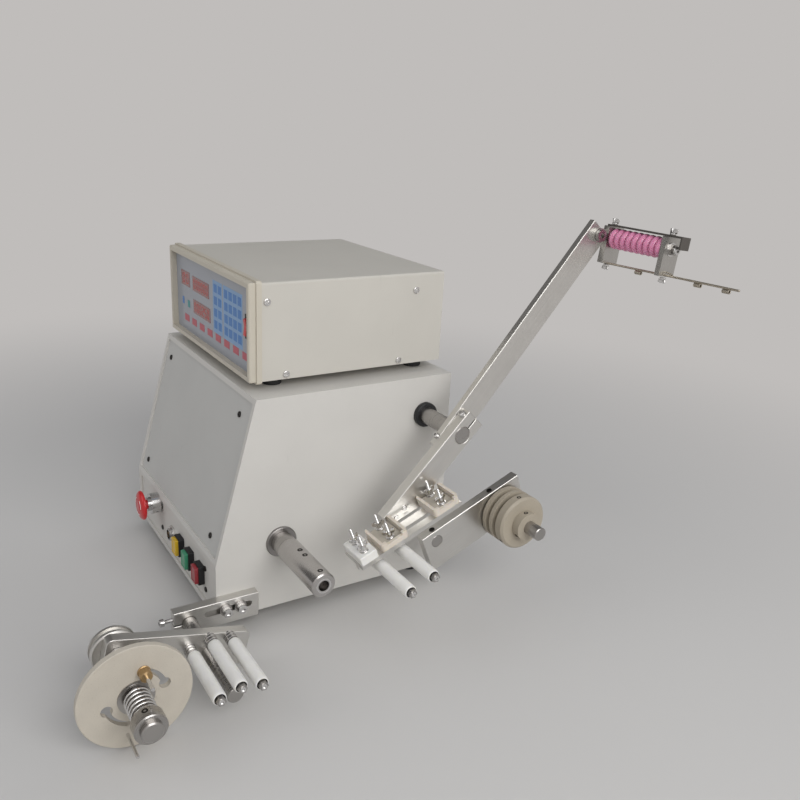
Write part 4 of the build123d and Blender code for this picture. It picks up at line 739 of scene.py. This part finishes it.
for colour in ("yellow", "green", "red"):
    node = f"button_{colour}"
    cap_low, cap_high = low(node), high(node)
    size = cap_high - cap_low
    lens = Shape()
    form = bmesh.new()
    bmesh.ops.create_cube(form, size=1)
    bmesh.ops.scale(form, vec=(size.x, size.z, size.y), verts=form.verts)
    bmesh.ops.bevel(form, geom=form.edges, offset=0.9, offset_type="OFFSET", affect="EDGES",
                    segments=3, profile=0.5, material=-1)
    top = [f for f in form.faces if f.normal.z > 0.99]
    rim = bmesh.ops.inset_region(form, faces=top, thickness=0.9, depth=0)["faces"]
    bmesh.ops.inset_region(form, faces=[f for f in form.faces if f.normal.z > 0.99
                                        and f not in rim], thickness=0.5, depth=-0.45)
    lens.take(form, at(((cap_low.x + cap_high.x) / 2, (cap_low.y + cap_high.y) / 2,
                        (cap_low.z + cap_high.z) / 2), -Y))
    lens.piece(f"{colour}_cap", body_of[node], f"{colour}_plastic",
               dark_red if colour == "red" else None, [node])

# ---------------------------------------------------------------- sheet metal screws
slope_y, slope_rise = 49.0, 186.5
SLOPE_FOOT_Y, SLOPE_FOOT_Z, STRIP_Y, BACK_Y = -150.0, 83.5, -148.0, 150.0
slope_l = math.hypot(slope_y, slope_rise)
up_slope = Vector((0, slope_y, slope_rise)) / slope_l
out_slope = Vector((0, -slope_rise, slope_y)) / slope_l
sheet_screws = Shape()
for x in (-125.0, 115.0):
    for s in (22.0, 166.0):
        spot = Vector((x, SLOPE_FOOT_Y, SLOPE_FOOT_Z)) + s * up_slope - 2 * out_slope
        sheet_screws.socket_head(at(spot, out_slope, 0.4), 3.4, 1.5, 1.1, "cross")
for x, z in ((-52.5, 67.0), (-53.0, 37.0), (110.5, 61.0), (111.0, 34.0)):
    sheet_screws.socket_head(at((x, STRIP_Y, z), -Y, 0.2), 3.2, 1.4, 1.0, "cross")
for x in (-120.0, 120.0):
    for z in (40.0, 240.0):
        sheet_screws.socket_head(at((x, BACK_Y, z), Y, 0.7), 3.4, 1.5, 1.1, "cross")
sheet_screws.piece("housing_screws", "machine", "steel", dark_steel)

case_screws = Shape()
case_low, case_high = low("controller_cover"), high("controller_cover")
for side, x in ((1, case_high.x), (-1, case_low.x)):
    for y, z in ((-78.1, 368.5), (-55.9, 286.6), (108.6, 369.1), (88.6, 286.4)):
        case_screws.socket_head(at((x, y, z), side * X, 0.5), 4.0, 1.9, 1.3, "cross")
for x in (case_low.x + 12, case_high.x - 12):
    for z in (294.0, 376.0):
        case_screws.socket_head(at((x, case_high.y, z), Y, 0.5), 3.2, 1.4, 1.0, "cross")
case_screws.piece("controller_screws", "machine", "bright_steel")

feet = Shape()
base = low("controller_base")
for x in (case_low.x + 25, case_high.x - 25):
    for y in (-62.0, 124.5):
        feet.turned(((9.02, 0.2), (10.2, 0.2), (10.8, 1.2), (10.2, 10.4), (9.02, 10.4)),
                    at((x, y, base.z), Z), 36, True)
feet.piece("controller_foot_rings", "machine", "rubber")

# ---------------------------------------------------------------- keypad
keypad_y = low("keypad_panel").y


def key(shape, x, z, width, height, proud=0.35, round_over=0.15):
    """A raised pad of the membrane, centred at x and z."""
    shape.block((width, height, proud + 0.1), at((x, keypad_y + 0.1, z), -Y), round_over, 1)


fields, blues, reds, greens = Shape(), Shape(), Shape(), Shape()
key(fields, 15.2, 339.0, 30.0, 62.0, 0.12, 0.05)
key(fields, 62.5, 339.0, 58.0, 62.0, 0.12, 0.05)
rows = (360.8, 346.4, 332.2, 318.0)
for z in rows:
    for x in (8.4, 22.2):
        key(blues, x, z, 9.6, 9.6)
    for x in (42.0, 55.6, 69.4, 83.2):
        key(blues, x, z, 9.8, 9.8)
for number in range(8):
    key(reds, -96.0 + 27.8 * number, 303.0, 16.5, 8.6)
key(blues, -108.8, 323.6, 6.0, 9.0)
key(greens, -88.0, 322.4, 8.0, 9.0)
fields.piece("key_fields", "machine", "membrane", key_field)
blues.piece("blue_keys", "machine", "membrane", key_blue)
reds.piece("red_keys", "machine", "membrane", key_red)
greens.piece("green_key", "machine", "membrane", key_green)

windows, digits = Shape(), Shape()
LIT = {"0": "abcdef", "2": "abged", "5": "afgcd", "8": "abcdefg"}
BARS = {"a": (0, 1, 1), "b": (1, 0.5, 0), "c": (1, -0.5, 0), "d": (0, -1, 1),
        "e": (-1, -0.5, 0), "f": (-1, 0.5, 0), "g": (0, 0, 1)}
for x, z, width, height, shown in ((-97.6, 353.2, 31.6, 18.6, "00"),
                                   (-42.4, 352.2, 58.0, 18.0, "000000"),
                                   (-40.2, 323.6, 60.0, 17.2, "000250")):
    key(windows, x, z, width, height, 0.3, 0.1)
    step = (width - 6) / len(shown)
    for place, digit in enumerate(shown):
        middle_x = x - width / 2 + 3 + step * (place + 0.5)
        for bar in LIT[digit]:
            across, lift, flat = BARS[bar]
            tall, wide = height * 0.3, step * 0.26
            size = (wide * 1.7, 0.9) if flat else (0.9, tall * 0.85)
            digits.block((*size, 0.16), at((middle_x + across * wide, keypad_y - 0.28,
                                            z + lift * tall), -Y), 0.05, 1)
windows.piece("display_windows", "machine", "membrane", window_red)
digits.piece("display_digits", "machine", "membrane", digit_red)

# ---------------------------------------------------------------- floor, light and camera
FADE_FROM, FADE_TO = 420.0, 1500.0
studio = Finish("studio_floor")
PALE = tone(192, 189, 187)
far = studio.add("ShaderNodeMapRange", {"interpolation_type": "SMOOTHSTEP"},
                 {"Value": studio.radius((0, 0, 0), "Z"), "From Min": FADE_FROM,
                  "From Max": FADE_TO})
cloud = studio.grain(400)
floor_shade = studio.between(cloud * 0.5, tone(205, 203, 200), tone(209, 207, 204))
studio.done(Base_Color=floor_shade, Roughness=0.75 + 0.1 * cloud)
glow = studio.tree.nodes.new("ShaderNodeEmission")
glow.inputs["Color"].default_value = (*PALE, 1)
fade = studio.tree.nodes.new("ShaderNodeMixShader")
studio.tree.links.new(far.socket, fade.inputs[0])
studio.tree.links.new(studio.surface.outputs[0], fade.inputs[1])
studio.tree.links.new(glow.outputs[0], fade.inputs[2])
output = [n for n in studio.tree.nodes if n.type == "OUTPUT_MATERIAL"][0]
studio.tree.links.new(fade.outputs[0], output.inputs[0])
ground = bmesh.new()
bmesh.ops.create_circle(ground, cap_ends=True, segments=96, radius=14)
floor_mesh = bpy.data.meshes.new("studio_floor")
ground.to_mesh(floor_mesh)
ground.free()
floor_mesh.materials.append(studio.material)
floor = bpy.data.objects.new("studio_floor", floor_mesh)
bpy.context.scene.collection.objects.link(floor)

world = bpy.data.worlds.new("studio")
world.use_nodes = True
bpy.context.scene.world = world
tree = world.node_tree
tree.nodes.clear()
rays = tree.nodes.new("ShaderNodeLightPath")
fill_light, view = (tree.nodes.new("ShaderNodeBackground") for _ in range(2))
fill_light.inputs["Color"].default_value = (0.93, 0.95, 1.0, 1)
fill_light.inputs["Strength"].default_value = 0.4
view.inputs["Color"].default_value = (*PALE, 1)
seen = rays.outputs["Is Camera Ray"]
for other in ("Is Glossy Ray", "Is Transmission Ray"):
    most = tree.nodes.new("ShaderNodeMath")
    most.operation = "MAXIMUM"
    tree.links.new(seen, most.inputs[0])
    tree.links.new(rays.outputs[other], most.inputs[1])
    seen = most.outputs[0]
# the room is darker towards -X, which reflections show and the background does not
way = tree.nodes.new("ShaderNodeTexCoord")
parts = tree.nodes.new("ShaderNodeSeparateXYZ")
tree.links.new(way.outputs["Generated"], parts.inputs[0])
shaded = tree.nodes.new("ShaderNodeMapRange")
shaded.interpolation_type = "SMOOTHSTEP"
tree.links.new(parts.outputs["X"], shaded.inputs["Value"])
for bound, value in (("From Min", -0.8), ("From Max", 0.75), ("To Min", 0.22), ("To Max", 1.05)):
    shaded.inputs[bound].default_value = value
level = tree.nodes.new("ShaderNodeMath")
level.operation = "MAXIMUM"
tree.links.new(rays.outputs["Is Camera Ray"], level.inputs[0])
tree.links.new(shaded.outputs[0], level.inputs[1])
tree.links.new(level.outputs[0], view.inputs["Strength"])
pick = tree.nodes.new("ShaderNodeMixShader")
tree.links.new(seen, pick.inputs[0])
tree.links.new(fill_light.outputs[0], pick.inputs[1])
tree.links.new(view.outputs[0], pick.inputs[2])
sky = tree.nodes.new("ShaderNodeOutputWorld")
tree.links.new(pick.outputs[0], sky.inputs[0])

LIT_SPOT = Vector((0.05, 0, 0.2))
for name, spot, size, power in (("key_lamp", (2.1, 0.0, 1.35), 1.7, 31.0),
                                ("soft_lamp", (-0.4, -2.1, 1.6), 1.6, 8.0),
                                ("back_lamp", (-0.6, 1.9, 2.1), 1.6, 5.0)):
    lamp_data = bpy.data.lights.new(name, "AREA")
    lamp_data.size, lamp_data.energy = size, power
    lamp = bpy.data.objects.new(name, lamp_data)
    lamp.location = spot
    lamp.rotation_euler = (Vector(spot) - LIT_SPOT).to_track_quat("Z", "Y").to_euler()
    bpy.context.scene.collection.objects.link(lamp)

camera_data = bpy.data.cameras.new("camera")
SENSOR, LENS, CAMERA_AT = 36.0, 37.4526, (0.9242, -0.4223, 0.5614)
camera_data.sensor_width = SENSOR
camera_data.lens = LENS
camera = bpy.data.objects.new("camera", camera_data)
YAW, PITCH, ROLL = (math.radians(a) for a in (57.103, 18.9161, 2.979))
aim = (Matrix.Rotation(YAW, 4, "Z") @ Matrix.Rotation(math.pi / 2 - PITCH, 4, "X")
       @ Matrix.Rotation(ROLL, 4, "Z"))
camera.matrix_world = Matrix.Translation(CAMERA_AT) @ aim
bpy.context.scene.collection.objects.link(camera)
bpy.context.scene.camera = camera
bpy.context.scene.view_settings.view_transform = "Standard"

bpy.context.view_layer.update()
